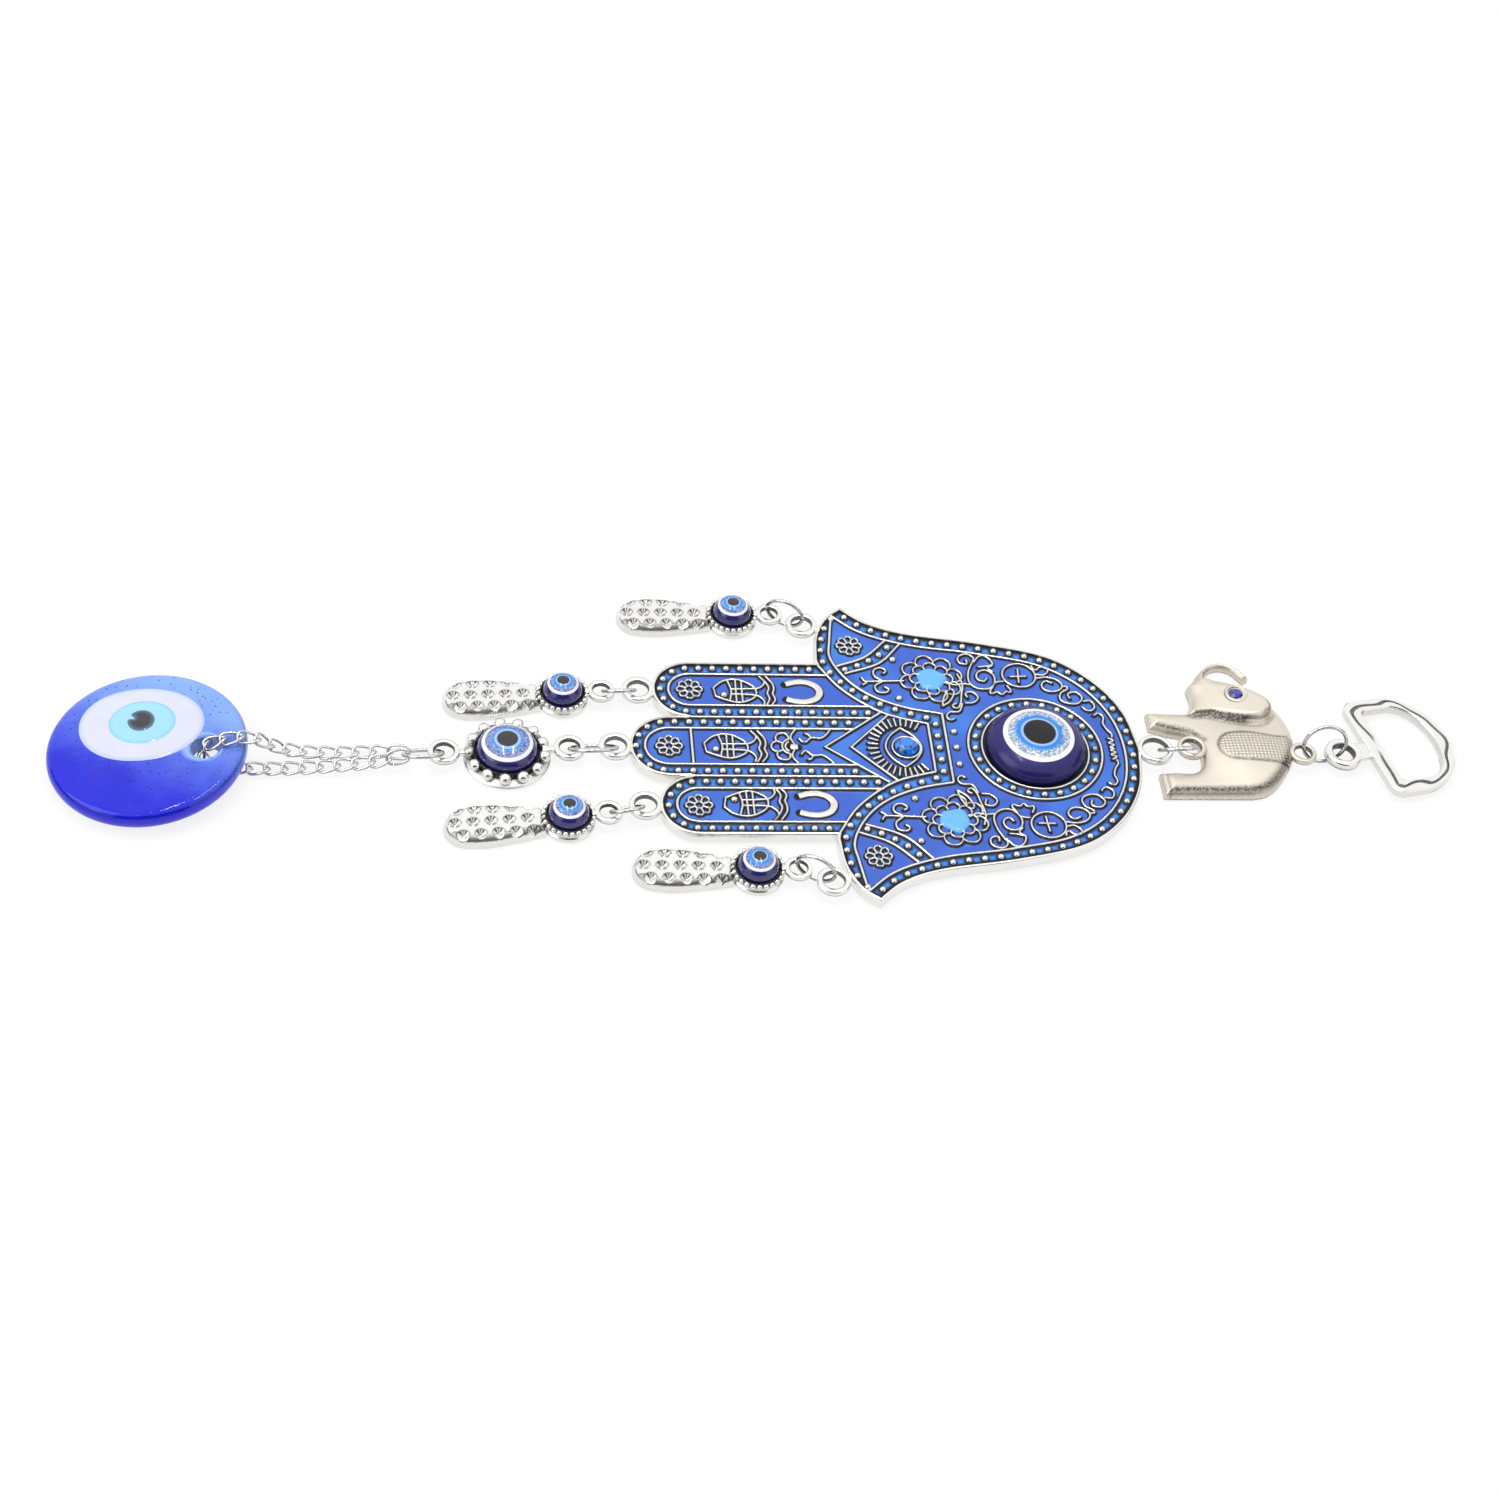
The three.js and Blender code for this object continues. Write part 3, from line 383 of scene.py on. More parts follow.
class Form:
    """The points and faces of one piece, and the marks that its finish reads at each point."""

    def __init__(self, *marks):
        self.points, self.faces, self.count = [], [], 0
        self.marks = {mark: [] for mark in marks}

    def add(self, shape, **marks):
        points, faces = shape
        self.points.append(np.asarray(points, float))
        self.faces += [tuple(i + self.count for i in face) for face in faces]
        self.count += len(points)
        for mark, values in self.marks.items():
            values.append(np.broadcast_to(marks.get(mark, 0.0), len(points)))

    def mesh(self):
        mesh = bpy.data.meshes.new("form")
        mesh.from_pydata((np.concatenate(self.points) * MM).tolist(), [], self.faces)
        for mark, values in self.marks.items():
            layer = mesh.attributes.new(mark, "FLOAT", "POINT")
            layer.data.foreach_set("value", np.concatenate(values).astype(np.float32))
        return mesh


def settle(name, mesh, finish, body, replaced=(), sharp=40):
    """Makes a mesh a finished piece of the object."""
    mesh.name = name
    if finish is not None:
        mesh.materials.clear()
        mesh.materials.append(finish)
    mesh.shade_smooth()
    mesh.set_sharp_from_angle(angle=math.radians(sharp))
    piece = bpy.data.objects.new(name, mesh)
    bpy.context.scene.collection.objects.link(piece)
    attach(piece, body)
    if replaced:
        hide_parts(*replaced)
    return piece


class Value:
    """A node's output that takes part in plain arithmetic."""

    def __init__(self, nodes, socket):
        self.nodes = nodes
        self.socket = socket

    def sum_of(self, operation, first, second):
        return self.nodes.add("ShaderNodeMath", {"operation": operation}, {0: first, 1: second})

    def __add__(self, other):
        return self.sum_of("ADD", self, other)

    def __radd__(self, other):
        return self.sum_of("ADD", other, self)

    def __sub__(self, other):
        return self.sum_of("SUBTRACT", self, other)

    def __rsub__(self, other):
        return self.sum_of("SUBTRACT", other, self)

    def __mul__(self, other):
        return self.sum_of("MULTIPLY", self, other)

    def __rmul__(self, other):
        return self.sum_of("MULTIPLY", other, self)

    def __truediv__(self, other):
        return self.sum_of("DIVIDE", self, other)

    def __pow__(self, other):
        return self.sum_of("POWER", self, other)

    def least(self, other):
        return self.sum_of("MINIMUM", self, other)

    def most(self, other):
        return self.sum_of("MAXIMUM", self, other)

    def apply(self, operation):
        """A function of one number, such as a sine."""
        return self.nodes.add("ShaderNodeMath", {"operation": operation}, {0: self})


class Nodes:
    """A node tree and the one way that nodes are added to it."""

    def __init__(self, tree):
        self.tree = tree

    def add(self, kind, settings=None, sockets=None, output=0):
        node = self.tree.nodes.new(kind)
        for key, value in (settings or {}).items():
            if key == "stops":
                ramp = node.color_ramp.elements
                ramp.remove(ramp[1])
                ramp[0].position, ramp[0].color = value[0][0], (*value[0][1], 1)
                for place, colour in value[1:]:
                    ramp.new(place).color = (*colour, 1)
            else:
                setattr(node, key, value)
        for key, value in (sockets or {}).items():
            if isinstance(value, Value):
                self.tree.links.new(value.socket, node.inputs[key])
            else:
                node.inputs[key].default_value = value
        return Value(self, node.outputs[output])


class Finish(Nodes):
    """A material with one Principled shader."""

    def __init__(self, name, **constants):
        self.material = bpy.data.materials.new(name)
        self.material.use_nodes = True
        super().__init__(self.material.node_tree)
        self.shader = self.tree.nodes["Principled BSDF"]
        self.place = self.add("ShaderNodeTexCoord", output="Object")
        for socket, value in constants.items():
            self.set(socket.replace("_", " ").title().replace("Ior", "IOR"), value)

    def set(self, socket, value):
        if isinstance(value, Value):
            self.tree.links.new(value.socket, self.shader.inputs[socket])
        else:
            colour = isinstance(value, tuple) and len(value) == 3
            self.shader.inputs[socket].default_value = (*value, 1) if colour else value

    def mark(self, name):
        return self.add("ShaderNodeAttribute", {"attribute_name": name}, output="Fac")

    def height(self):
        """Height of a point above the table, in mm."""
        return self.add("ShaderNodeSeparateXYZ", None, {0: self.place}, "Z") * (1 / MM)

    def upward(self):
        """1 where the surface faces up, 0 where it is upright."""
        facing = self.add("ShaderNodeTexCoord", output="Normal")
        return self.add("ShaderNodeSeparateXYZ", None, {0: facing}, "Z")

    def noise(self, size, detail=2.0, rough=0.5):
        """Cloudy variation with blotches of a size in mm."""
        facts = {"Vector": self.place, "Scale": 1 / (size * MM), "Detail": detail, "Roughness": rough}
        return self.add("ShaderNodeTexNoise", None, facts)

    def ease(self, value, start, end, low=0.0, high=1.0):
        facts = {0: value, 1: start, 2: end, 3: low, 4: high}
        return self.add("ShaderNodeMapRange", {"interpolation_type": "SMOOTHSTEP"}, facts)

    def blend(self, factor, first, second):
        """A colour between two others."""
        ends = [value if isinstance(value, Value) else (*value, 1) for value in (first, second)]
        return self.add("ShaderNodeMix", {"data_type": "RGBA"}, {0: factor, 6: ends[0], 7: ends[1]}, 2)

    def ramp(self, value, stops):
        return self.add("ShaderNodeValToRGB", {"stops": stops}, {0: value})

    def bump(self, height, depth, strength=1.0):
        """Relief of a depth in mm."""
        facts = {"Strength": strength, "Distance": depth * MM, "Height": height}
        self.set("Normal", self.add("ShaderNodeBump", None, facts))


class Recipe(Nodes):
    """A Geometry Nodes tree with named numbers as inputs."""

    def __init__(self, name, *numbers):
        super().__init__(bpy.data.node_groups.new(name, "GeometryNodeTree"))
        face = self.tree.interface
        face.new_socket("Geometry", in_out="INPUT", socket_type="NodeSocketGeometry")
        face.new_socket("Geometry", in_out="OUTPUT", socket_type="NodeSocketGeometry")
        self.keys = {}
        for label in (*numbers, "Material"):
            kind = "NodeSocketMaterial" if label == "Material" else "NodeSocketFloat"
            self.keys[label] = face.new_socket(label, in_out="INPUT", socket_type=kind).identifier
        self.source = self.tree.nodes.new("NodeGroupInput")

    def given(self, label):
        return Value(self, self.source.outputs[label])

    def round(self, sides, radius):
        """A circle as a curve."""
        return self.add("GeometryNodeCurvePrimitiveCircle", None, {"Resolution": sides, "Radius": radius})

    def sweep(self, curve, section):
        """A section swept along a curve, with closed ends."""
        facts = {"Curve": curve, "Profile Curve": section, "Fill Caps": True}
        return self.add("GeometryNodeCurveToMesh", None, facts)

    def close(self, geometry):
        """Ends the tree: real geometry with its material."""
        real = self.add("GeometryNodeRealizeInstances", None, {0: geometry})
        facts = {"Geometry": real, "Material": self.given("Material")}
        worn = self.add("GeometryNodeSetMaterial", None, facts)
        out = self.tree.nodes.new("NodeGroupOutput")
        self.tree.links.new(worn.socket, out.inputs[0])

    def grow(self, name, points, edges, turns=None, **values):
        """The mesh that the tree makes from points and edges."""
        mesh = bpy.data.meshes.new(name + "_path")
        mesh.from_pydata((np.asarray(points) * MM).tolist(), edges, [])
        if turns is not None:
            layer = mesh.attributes.new("turn", "FLOAT_VECTOR", "POINT")
            layer.data.foreach_set("vector", np.asarray(turns, np.float32).ravel())
        path = bpy.data.objects.new(name + "_path", mesh)
        bpy.context.scene.collection.objects.link(path)
        modifier = path.modifiers.new("recipe", "NODES")
        modifier.node_group = self.tree
        for label, value in values.items():
            modifier[self.keys[label]] = value
        graph = bpy.context.evaluated_depsgraph_get()
        made = bpy.data.meshes.new_from_object(path.evaluated_get(graph), depsgraph=graph)
        path.modifiers.remove(modifier)
        bpy.data.objects.remove(path)
        bpy.data.meshes.remove(mesh)
        return made

    def follow(self, name, lines, **values):
        """The mesh that the tree makes along lines of points."""
        edges, first = [], 0
        for line in lines:
            edges += [(first + i, first + i + 1) for i in range(len(line) - 1)]
            first += len(line)
        return self.grow(name, np.concatenate(lines), edges, **values)


def bead_recipe():
    """Round beads at an even pitch along lines."""
    recipe = Recipe("beads", "Pitch", "Radius")
    pitch, radius = recipe.given("Pitch"), recipe.given("Radius")
    curve = recipe.add("GeometryNodeMeshToCurve", None, {"Mesh": recipe.given("Geometry")})
    places = recipe.add("GeometryNodeCurveToPoints", {"mode": "LENGTH"}, {0: curve, "Length": pitch})
    bead = recipe.add("GeometryNodeMeshIcoSphere", None, {"Radius": radius, "Subdivisions": 2})
    recipe.close(recipe.add("GeometryNodeInstanceOnPoints", None, {"Points": places, "Instance": bead}))
    return recipe


def wire_recipe():
    """Round-topped wire laid along lines."""
    recipe = Recipe("raised_lines", "Width", "Height")
    curve = recipe.add("GeometryNodeMeshToCurve", None, {"Mesh": recipe.given("Geometry")})
    level = recipe.add("GeometryNodeSetCurveNormal", {"mode": "Z_UP"}, {"Curve": curve})
    sides = {0: recipe.given("Width") * 0.5, 1: recipe.given("Height"), 2: 1.0}
    half = recipe.add("ShaderNodeCombineXYZ", None, sides)
    shaped = recipe.add("GeometryNodeTransform", None, {"Geometry": recipe.round(10, 1.0), "Scale": half})
    recipe.close(recipe.sweep(level, shaped))
    return recipe


def jump_ring_recipe():
    """A ring bent from round wire, with the fine gap where its ends meet."""
    recipe = Recipe("jump_ring", "Radius", "Wire", "Gap")
    gap = recipe.given("Gap") / recipe.given("Radius")
    facts = {"Resolution": 56, "Radius": recipe.given("Radius"), "Sweep Angle": 2 * math.pi - gap}
    bent = recipe.add("GeometryNodeCurveArc", None, facts)
    recipe.close(recipe.sweep(bent, recipe.round(12, recipe.given("Wire"))))
    return recipe


def link_recipe():
    """Curb links at points, each turned as its point says: ovals whose ends twist opposite ways."""
    recipe = Recipe("curb_links", "Length", "Width", "Wire", "Twist", "Fullness")
    turn = recipe.add("GeometryNodeSplineParameter") * (2 * math.pi)
    waves = [turn.apply(operation) for operation in ("COSINE", "SINE")]
    full = [wave.apply("ABSOLUTE") ** recipe.given("Fullness") * wave.apply("SIGN") for wave in waves]
    twist = waves[0] * recipe.given("Twist")
    across = full[1] * recipe.given("Width")
    along = full[0] * recipe.given("Length")
    facts = {0: along, 1: across * twist.apply("COSINE"), 2: across * twist.apply("SINE") * -1.0}
    place = recipe.add("ShaderNodeCombineXYZ", None, facts)
    bent = recipe.add("GeometryNodeSetPosition", None, {"Geometry": recipe.round(32, 1.0), "Position": place})
    link = recipe.sweep(bent, recipe.round(8, recipe.given("Wire")))
    turned = recipe.add("GeometryNodeInputNamedAttribute", {"data_type": "FLOAT_VECTOR"}, {"Name": "turn"})
    spun = recipe.add("FunctionNodeEulerToRotation", None, {0: turned})
    facts = {"Points": recipe.given("Geometry"), "Instance": link, "Rotation": spun}
    recipe.close(recipe.add("GeometryNodeInstanceOnPoints", None, facts))
    return recipe


# Finishes


def dim(colour, share):
    return tuple(share * part for part in colour)


def silver_finish(name, look, colour, sides):
    """Cast silver with fine grain: bright on top, with painted shade down its sides and where the mark "shade" is
    high.
    """
    finish = Finish(name, metallic=1.0)
    shade = finish.mark("shade")
    cloud = finish.noise(3.0)
    grain = finish.noise(0.5, 3.0)
    upright_shade = 1 - finish.ease(finish.upward(), 0.0, 0.65)
    bright = finish.blend(cloud, dim(colour, 0.93), colour)
    dark = (shade * (0.8 + grain * 0.4) + upright_shade * sides * (0.5 + grain)).least(1.0)
    finish.set("Base Color", finish.blend(dark, bright, look.painted_shade))
    finish.set("Roughness", look.roughness + cloud * 0.06 + shade * 0.22)
    finish.bump(grain, 0.02)
    return finish.material


def wire_finish(look):
    """Bright nickel wire with faint drawing marks, and painted shade down its sides."""
    finish = Finish("bright_wire", metallic=1.0)
    cloud = finish.noise(1.2, 3.0)
    upright_shade = 1 - finish.ease(finish.upward(), 0.05, 0.6)
    bright = finish.blend(cloud, srgb(206, 208, 210), look.nickel)
    finish.set("Base Color", finish.blend(upright_shade * (0.35 + cloud * 0.3), bright, look.painted_shade))
    finish.set("Roughness", 0.08 + cloud * 0.1)
    finish.bump(finish.noise(0.3), 0.012)
    return finish.material


def raised_silver_finish(look):
    """The hand's raised silver: polished tops, with painted shade low down where it meets the enamel."""
    finish = Finish("raised_silver", metallic=1.0)
    top = finish.ease(finish.height(), ENAMEL_Z + 0.08, ENAMEL_Z + 0.34)
    cloud = finish.noise(1.5)
    bright = finish.blend(cloud, srgb(226, 224, 218), srgb(246, 245, 242))
    finish.set("Base Color", finish.blend(top, look.painted_shade, bright))
    finish.set("Roughness", 0.4 - top * 0.2 + cloud * 0.08)
    return finish.material


def enamel_finish(look):
    """Poured enamel: two blues, with painted shade darkening it to navy where it runs up to the silver."""
    finish = Finish("poured_enamel", specular_ior_level=0.25, coat_weight=0.1, coat_roughness=0.08)
    cloud = finish.noise(5.0, 3.0)
    light = finish.ease(finish.noise(16.0), 0.45, 0.75) * 0.7
    field = finish.blend(light, finish.blend(cloud, dim(look.field, 0.9), look.field), look.channel)
    gap, channel = finish.mark("line_gap"), finish.mark("channel")
    tone = finish.blend(channel, field, look.channel)
    # Painted shade: near a line the enamel takes the edge colour, and in the channels the shade reaches further,
    # round the beads
    edge = look.edge_width / MM
    clear = finish.ease(gap, 0.6 * edge, edge)
    clear = clear + channel * (finish.ease(gap, 0.55 * edge, 1.8 * edge) - clear)
    finish.set("Base Color", finish.blend(clear, look.edge, tone))
    finish.set("Roughness", 0.3 + cloud * 0.1)
    finish.bump(finish.noise(2.2), 0.03)
    return finish.material


def eye_finish(name, look, frost, glitter, fleck_size, coat):
    """A resin eye by the mark "ring", in sixths: pupil, pale ring, iris, glitter, white ring and navy."""
    finish = Finish(name, roughness=0.25, specular_ior_level=0.3, coat_weight=coat, coat_roughness=0.04)
    ring = finish.mark("ring")
    pupil, iris, white, navy = look.pupil, look.iris, look.white, look.navy
    pale = tuple(0.6 * a + 0.4 * b for a, b in zip(iris, white))
    stops = [
        (0.0, pupil), (0.16, pupil), (0.172, pale), (0.32, pale), (0.345, iris), (0.48, iris), (0.55, frost),
        (0.65, frost), (0.672, white), (0.825, white), (0.834, pupil), (0.846, navy), (1.0, dim(navy, 0.7)),
    ]
    cells = {"Vector": finish.place, "Scale": 1 / (fleck_size * MM)}
    cell = finish.add("ShaderNodeTexVoronoi", None, cells, "Color")
    fleck = finish.add("ShaderNodeSeparateColor", None, {0: cell})
    band = finish.ease(ring, 0.4, 0.53) * (1 - finish.ease(ring, 0.64, 0.675))
    glint = finish.blend(finish.ease(fleck, 0.3, 0.8), dim(iris, 0.4), (0.85, 0.87, 0.9))
    finish.set("Base Color", finish.blend(band * glitter, finish.ramp(ring, stops), glint))
    return finish.material


def gem_finish(name, colour):
    """A foiled glass stone; the colour of its facets is painted lighter or darker by the way each faces, as
    painted reflections.
    """
    finish = Finish(name, roughness=0.05, coat_weight=1.0, coat_roughness=0.02)
    facing = finish.add("ShaderNodeTexCoord", output="Normal")
    painted_facet_light = finish.add("ShaderNodeTexNoise", None, {"Vector": facing, "Scale": 4.0, "Detail": 0.0})
    deep, pale = dim(colour, 0.2), tuple(0.5 + 0.5 * part for part in colour)
    finish.set("Base Color", finish.ramp(painted_facet_light, [(0.3, deep), (0.5, colour), (0.62, colour), (0.7, pale)]))
    finish.set("Metallic", finish.ease(painted_facet_light, 0.4, 0.7) * 0.3)
    return finish.material


def drop_finish(look):
    """Sky-blue enamel dropped into the flowers."""
    finish = Finish("dropped_enamel", coat_weight=0.6, coat_roughness=0.05)
    cloud = finish.noise(2.0)
    finish.set("Base Color", finish.blend(cloud, dim(look.drop, 0.9), look.drop))
    finish.set("Roughness", 0.22 + cloud * 0.08)
    return finish.material


def cobalt_finish(look):
    """Poured cobalt glass: paler across towards one side and near the hole, with clouds, fine dark seeds, painted
    shade on its rounded brink and a painted violet reflection on its upright rim.
    """
    gloss = {"roughness": 0.06, "specular_ior_level": 0.25, "coat_weight": 0.25, "coat_roughness": 0.02}
    finish = Finish("poured_glass", **gloss)
    thin = finish.mark("thin")
    cloud = finish.noise(7.0, 3.0)
    deep = finish.blend(cloud, dim(look.cobalt, 0.75), look.cobalt)
    veil = finish.ease(finish.noise(9.0, 4.0, 0.65), 0.5, 0.75) * 0.45
    veiled = finish.blend(veil, deep, look.violet)
    body = finish.blend(finish.ease(thin + cloud * 0.3, 0.3, 1.25), veiled, look.pale)
    seed = finish.add("ShaderNodeTexVoronoi", None, {"Vector": finish.place, "Scale": 1 / (1.0 * MM)})
    spots = (1 - finish.ease(seed, 0.14, 0.24)) * finish.ease(finish.noise(5.0), 0.36, 0.5) * 0.8
    # Painted shade on the rounded brink, and a painted violet reflection on the upright rim
    up = finish.upward()
    brink = finish.ease(up, 0.3, 0.5) * (1 - finish.ease(up, 0.6, 0.8)) * 0.5
    wall = (1 - finish.ease(up, 0.1, 0.35)) * finish.ease(finish.noise(2.5, 3.0), 0.35, 0.6) * 0.7
    edged = finish.blend(wall, finish.blend(brink, body, dim(look.cobalt, 0.35)), look.violet)
    finish.set("Base Color", finish.blend(spots, edged, dim(look.cobalt, 0.2)))
    finish.bump(finish.noise(3.5, 2.0) - spots * 0.3, 0.15)
    return finish.material


def laid_glass_finish(name, colour, rim):
    """A drop of opaque glass laid on the disc, thin at its rim."""
    finish = Finish(name, roughness=0.15, specular_ior_level=0.3, coat_weight=0.2, coat_roughness=0.03)
    cloud = finish.noise(4.0, 2.0)
    body = finish.blend(cloud, dim(colour, 0.9), colour)
    finish.set("Base Color", finish.blend(finish.mark("edge") * 0.4, body, rim))
    return finish.material


# The hand's drawing, in mm from a line across the fingers; what is drawn on one half is mirrored

PALM_EDGE = [
    (84.8, 0), (83.1, 10.4), (77.8, 19.5), (69, 26.1), (55, 29.8), (40, 32.3), (32, 35.4), (27, 39.7),
]
BORDER = 3.3
BEAD_INSET = 1.75
FIELD_LINE = [(23.7, 29.5), (23.3, 25.5), (25.5, 20), (30, 14.9), (37, 11.2), (45, 9.3)]
BAND_LINE = [(20.7, 22.6), (24.6, 16.4), (31, 10.6), (34.4, 8.7), (41.7, 6.5)]
STRIP_LINES = [[(24.5, 22.5), (30.6, 25.2), (35.4, 30)], [(26, 20.4), (33.6, 23.6), (38.4, 29)]]
CHEVRONS = [[(32.1, 9.4), (20, 0), (32.1, -9.4)], [(33.8, 8.9), (25.3, 0), (33.8, -8.9)]]
PALM_EYE = (DRAWING_X, 0.0)
BEZEL_LINES = (10.9, 13.7)
BEZEL_BEADS = 12.3
# Lines round the fingers: middle, half width, tip and where the two sides end
FINGER = (15.5, 4.35, -10.7, (22.2, 30.6))
FINGER_BEADS = (15.45, 6.05, -12.4, (18.7, 29.7))
MIDDLE = (0, 4.85, -16.2, (26.2, 26.2))
MIDDLE_BEADS = (0, 6.55, -18, (25.4, 25.4))
MIDDLE_BAR_X = -6.8
SEAM_Y, SEAM_ENDS = 7.93, (-9.6, 30.2)
PICTURE_Y = 15.2
FLOWER = (44.0, 19.2)
ROSETTES = ((27.7, 28.5), (-6.4, 15.6))
MIDDLE_ROSETTE = (-11.4, 0)
HALF_FLOWER = (13.4, 0)
MEDALLION, MEDALLION_R = (62.6, 20.4), 3.5
MIDDLE_FISH = (-2.9, 0)
KITE_EYE, KITE_EYE_R = (36.5, 0.0), 2.85
KITE_LIDS = [
    [(35.8, 5.3), (33.4, 3), (32.3, 0), (33.4, -3), (35.8, -5.3)],
    [(35.8, 5.3), (38.6, 2.7), (39.6, 0), (38.6, -2.7), (35.8, -5.3)],
]
RAYS, RAYS_AT, RAY_ENDS = 34, (35.8, 0.0), (5.1, 7.1)
# Where the rays have room: below a line across, and between two lines from a point
KITE_TOP, KITE_POINT, KITE_SLOPE = 40.6, 18, 0.55
# Points inside the fields, where their outlines are closed
FINGER_CLOSE = (25, 16)
CHEVRON_CLOSE = (41, 0)
BAND_BEADS = [
    (24.7, 36.2), (22.8, 33), (21.9, 29.5), (21.6, 26), (22, 22.7), (23.7, 19.6), (27.8, 15), (33.1, 11.5),
    (38.7, 9.2), (41.6, 8.2),
]
STRIP_BEADS = [(26.2, 21.6), (28.8, 22.7), (31.4, 24.2), (33.7, 25.9), (35.7, 28.1)]
BASE_BEADS = [(43.3, 6.4), (43.3, -6.4)]
LONE_BEADS = [(36.5, 24.6), (36.6, 13.6), (46.8, 4.4)]
MIDDLE_BEAD = (46.8, 0.1)
FISH_EYES = [(0.6, 14.1), (0.6, -14.1), (-2.1, -0.8)]
VINES = [
    [(46.9, 18.4), (48.6, 17.5), (50.3, 17.8), (52, 17.6)],
    [(49.6, 20.6), (50.3, 17.8), (49.7, 14.5), (49.2, 12.2), (48.3, 10.9), (47.5, 11.6), (48.3, 12.3)],
    [(53, 23.4), (53.6, 25.4), (52.2, 26.4), (50.4, 25.4), (50.6, 23.8), (52, 23.6), (52, 24.8)],
    [(53.2, 24), (52, 21), (52, 18), (53.6, 16.5), (56, 16.7), (57.3, 18.6), (57, 20.9), (55.4, 21.8),
     (53.9, 21), (53.7, 19.3), (54.9, 18.6), (55.7, 19.5)],
    [(53.4, 24), (55.6, 26), (57.5, 23.5), (56.4, 22.4), (57.2, 21.2)],
    [(54.3, 22.7), (55.8, 22.9), (57.4, 23.3)],
    [(59.1, 18.6), (57.4, 18.3), (56.6, 17), (56, 15.2), (57.4, 15.6), (58.3, 14.9), (59.2, 15.7),
     (60.2, 15.6), (59.7, 17.4)],
    [(62.6, 22.2), (62.3, 18.2)],
    [(60.6, 20), (64, 20.1)],
    [(66, 20.8), (67.8, 20.6), (69, 22.3), (67.6, 22.9), (66.2, 22), (65.6, 23.3)],
    [(66, 19.6), (68.5, 19.9), (70.9, 18.8), (71.3, 17.3), (70, 16.1), (68, 16), (67, 17.4), (67.9, 18.8),
     (69.3, 18.3)],
    [(71.3, 17.4), (72.4, 17.1), (70.7, 15.4), (70.4, 13.6), (71.8, 12.5), (74, 12.7), (75, 14.4),
     (73.8, 15.7), (72.2, 15.2), (72.4, 13.9)],
    [(75, 13.2), (76.7, 13.2), (77.1, 11.3), (75.6, 10.5), (74.7, 11.5)],
    [(76.6, 9.2), (77.6, 9.8), (78.5, 8.9), (78.2, 7), (78.9, 5), (79.5, 4.1), (79.4, 3)],
    [(78.5, 2.9), (79.5, 2.2), (78.5, 1.6), (79.5, 1), (78.6, 0.4), (79.4, 0)],
    [(50.2, 12.3), (52, 12.6), (53.1, 14), (52.2, 15.4), (50.7, 15.2), (50.9, 13.9)],
    [(49.6, 12.2), (48.6, 10), (46.5, 9.7), (45.9, 8.5), (46.6, 7.6), (47.4, 8)],
    [(45.4, 11.4), (47.5, 13.4), (47.9, 16.2), (46, 14), (45.4, 11.4)],
    [(38.2, 18.5), (30.3, 18.2), (29.4, 19.3)],
    [(30.6, 18.2), (29.4, 17.2)],
    [(33.6, 18.5), (32.1, 20), (32.4, 21.7), (33.8, 22.1), (34.7, 21.3), (34, 20.5)],
    [(33.6, 18.2), (32, 16.9), (32.4, 15.4), (33.8, 15.1), (34.8, 16), (34, 16.7)],
]
FISH_OUTLINE = [
    (-1.45, 0.85), (0.45, 2.65), (3.2, 3.2), (5.5, 2.3), (7.0, 0.85), (7.1, -1.3), (5.6, -2.6), (3.45, -3.25),
    (0.4, -2.3), (-1.1, -1.5),
]
FISH_LINES = [
    [(1.55, 2.8), (2.15, 0), (1.7, -2.7)],
    [(3.15, 3.1), (3.05, -3.1)], [(4.35, 2.8), (4.3, -3)],
    [(2.2, 0.5), (5, 0.55), (7.8, 0.85), (8.9, 1.9), (9.1, 2.8), (8.15, 4.2)],
    [(2.1, -0.9), (5, -1), (7.6, -1.4), (8.5, -2.3), (8.75, -3.1), (8.4, -4.3)],
    [(8.2, 4.2), (9.4, 2.4), (9.9, 0.85), (9.5, -0.55), (9.85, -2.1), (8.9, -4.3)],
    [(9.5, 4.2), (10.8, 1.95), (10.9, 0.5), (10.6, -0.7), (11, -2.3), (9.9, -4.3)],
]
HORSESHOE = [
    (13.4, 2.1), (15.4, 2.7), (17.6, 2.7), (19.6, 1.7), (20.3, 0), (19.6, -1.7), (17.6, -2.7), (15.4, -2.7),
    (13.4, -2.1),
]
FAN = [(13.0, 0.0), (14.4, 0.0)]
BRANCHES = [
    [(14.9, 2.2), (15.8, 1.2), (17.4, 2.4), (19.2, 2.3), (20.6, 3.4), (21.4, 4.6)],
    [(17.4, 2.4), (16.8, 3.3), (16.2, 3.5)],
    [(14.3, 4.6), (13.2, 2.6), (13.8, 0.6)],
]


def mirrored(lines):
    return [np.asarray(line, float) * (1, -1) for line in lines]


def beside(line, distance):
    """An open line moved to its right."""
    ahead = np.gradient(line, axis=0)
    ahead /= np.linalg.norm(ahead, axis=1)[:, None]
    return line + distance * np.stack((ahead[:, 1], -ahead[:, 0]), 1)


def palm_line(distance):
    """A line inside the edge of the palm, from the near thumb round the wrist to the far one."""
    far = np.array(PALM_EDGE, float)
    edge = smooth_line(np.concatenate((far[::-1], far[1:] * (1, -1))), 0.6)
    return beside(edge, distance)


def finger_line(y, half, tip, ends):
    """A line round a finger's end, from its far side to its near side."""
    bend = arc((tip + half, y), half, 90, 180, 20)
    return np.concatenate(([(ends[0], y + half)], bend, [(ends[1], y - half)]))


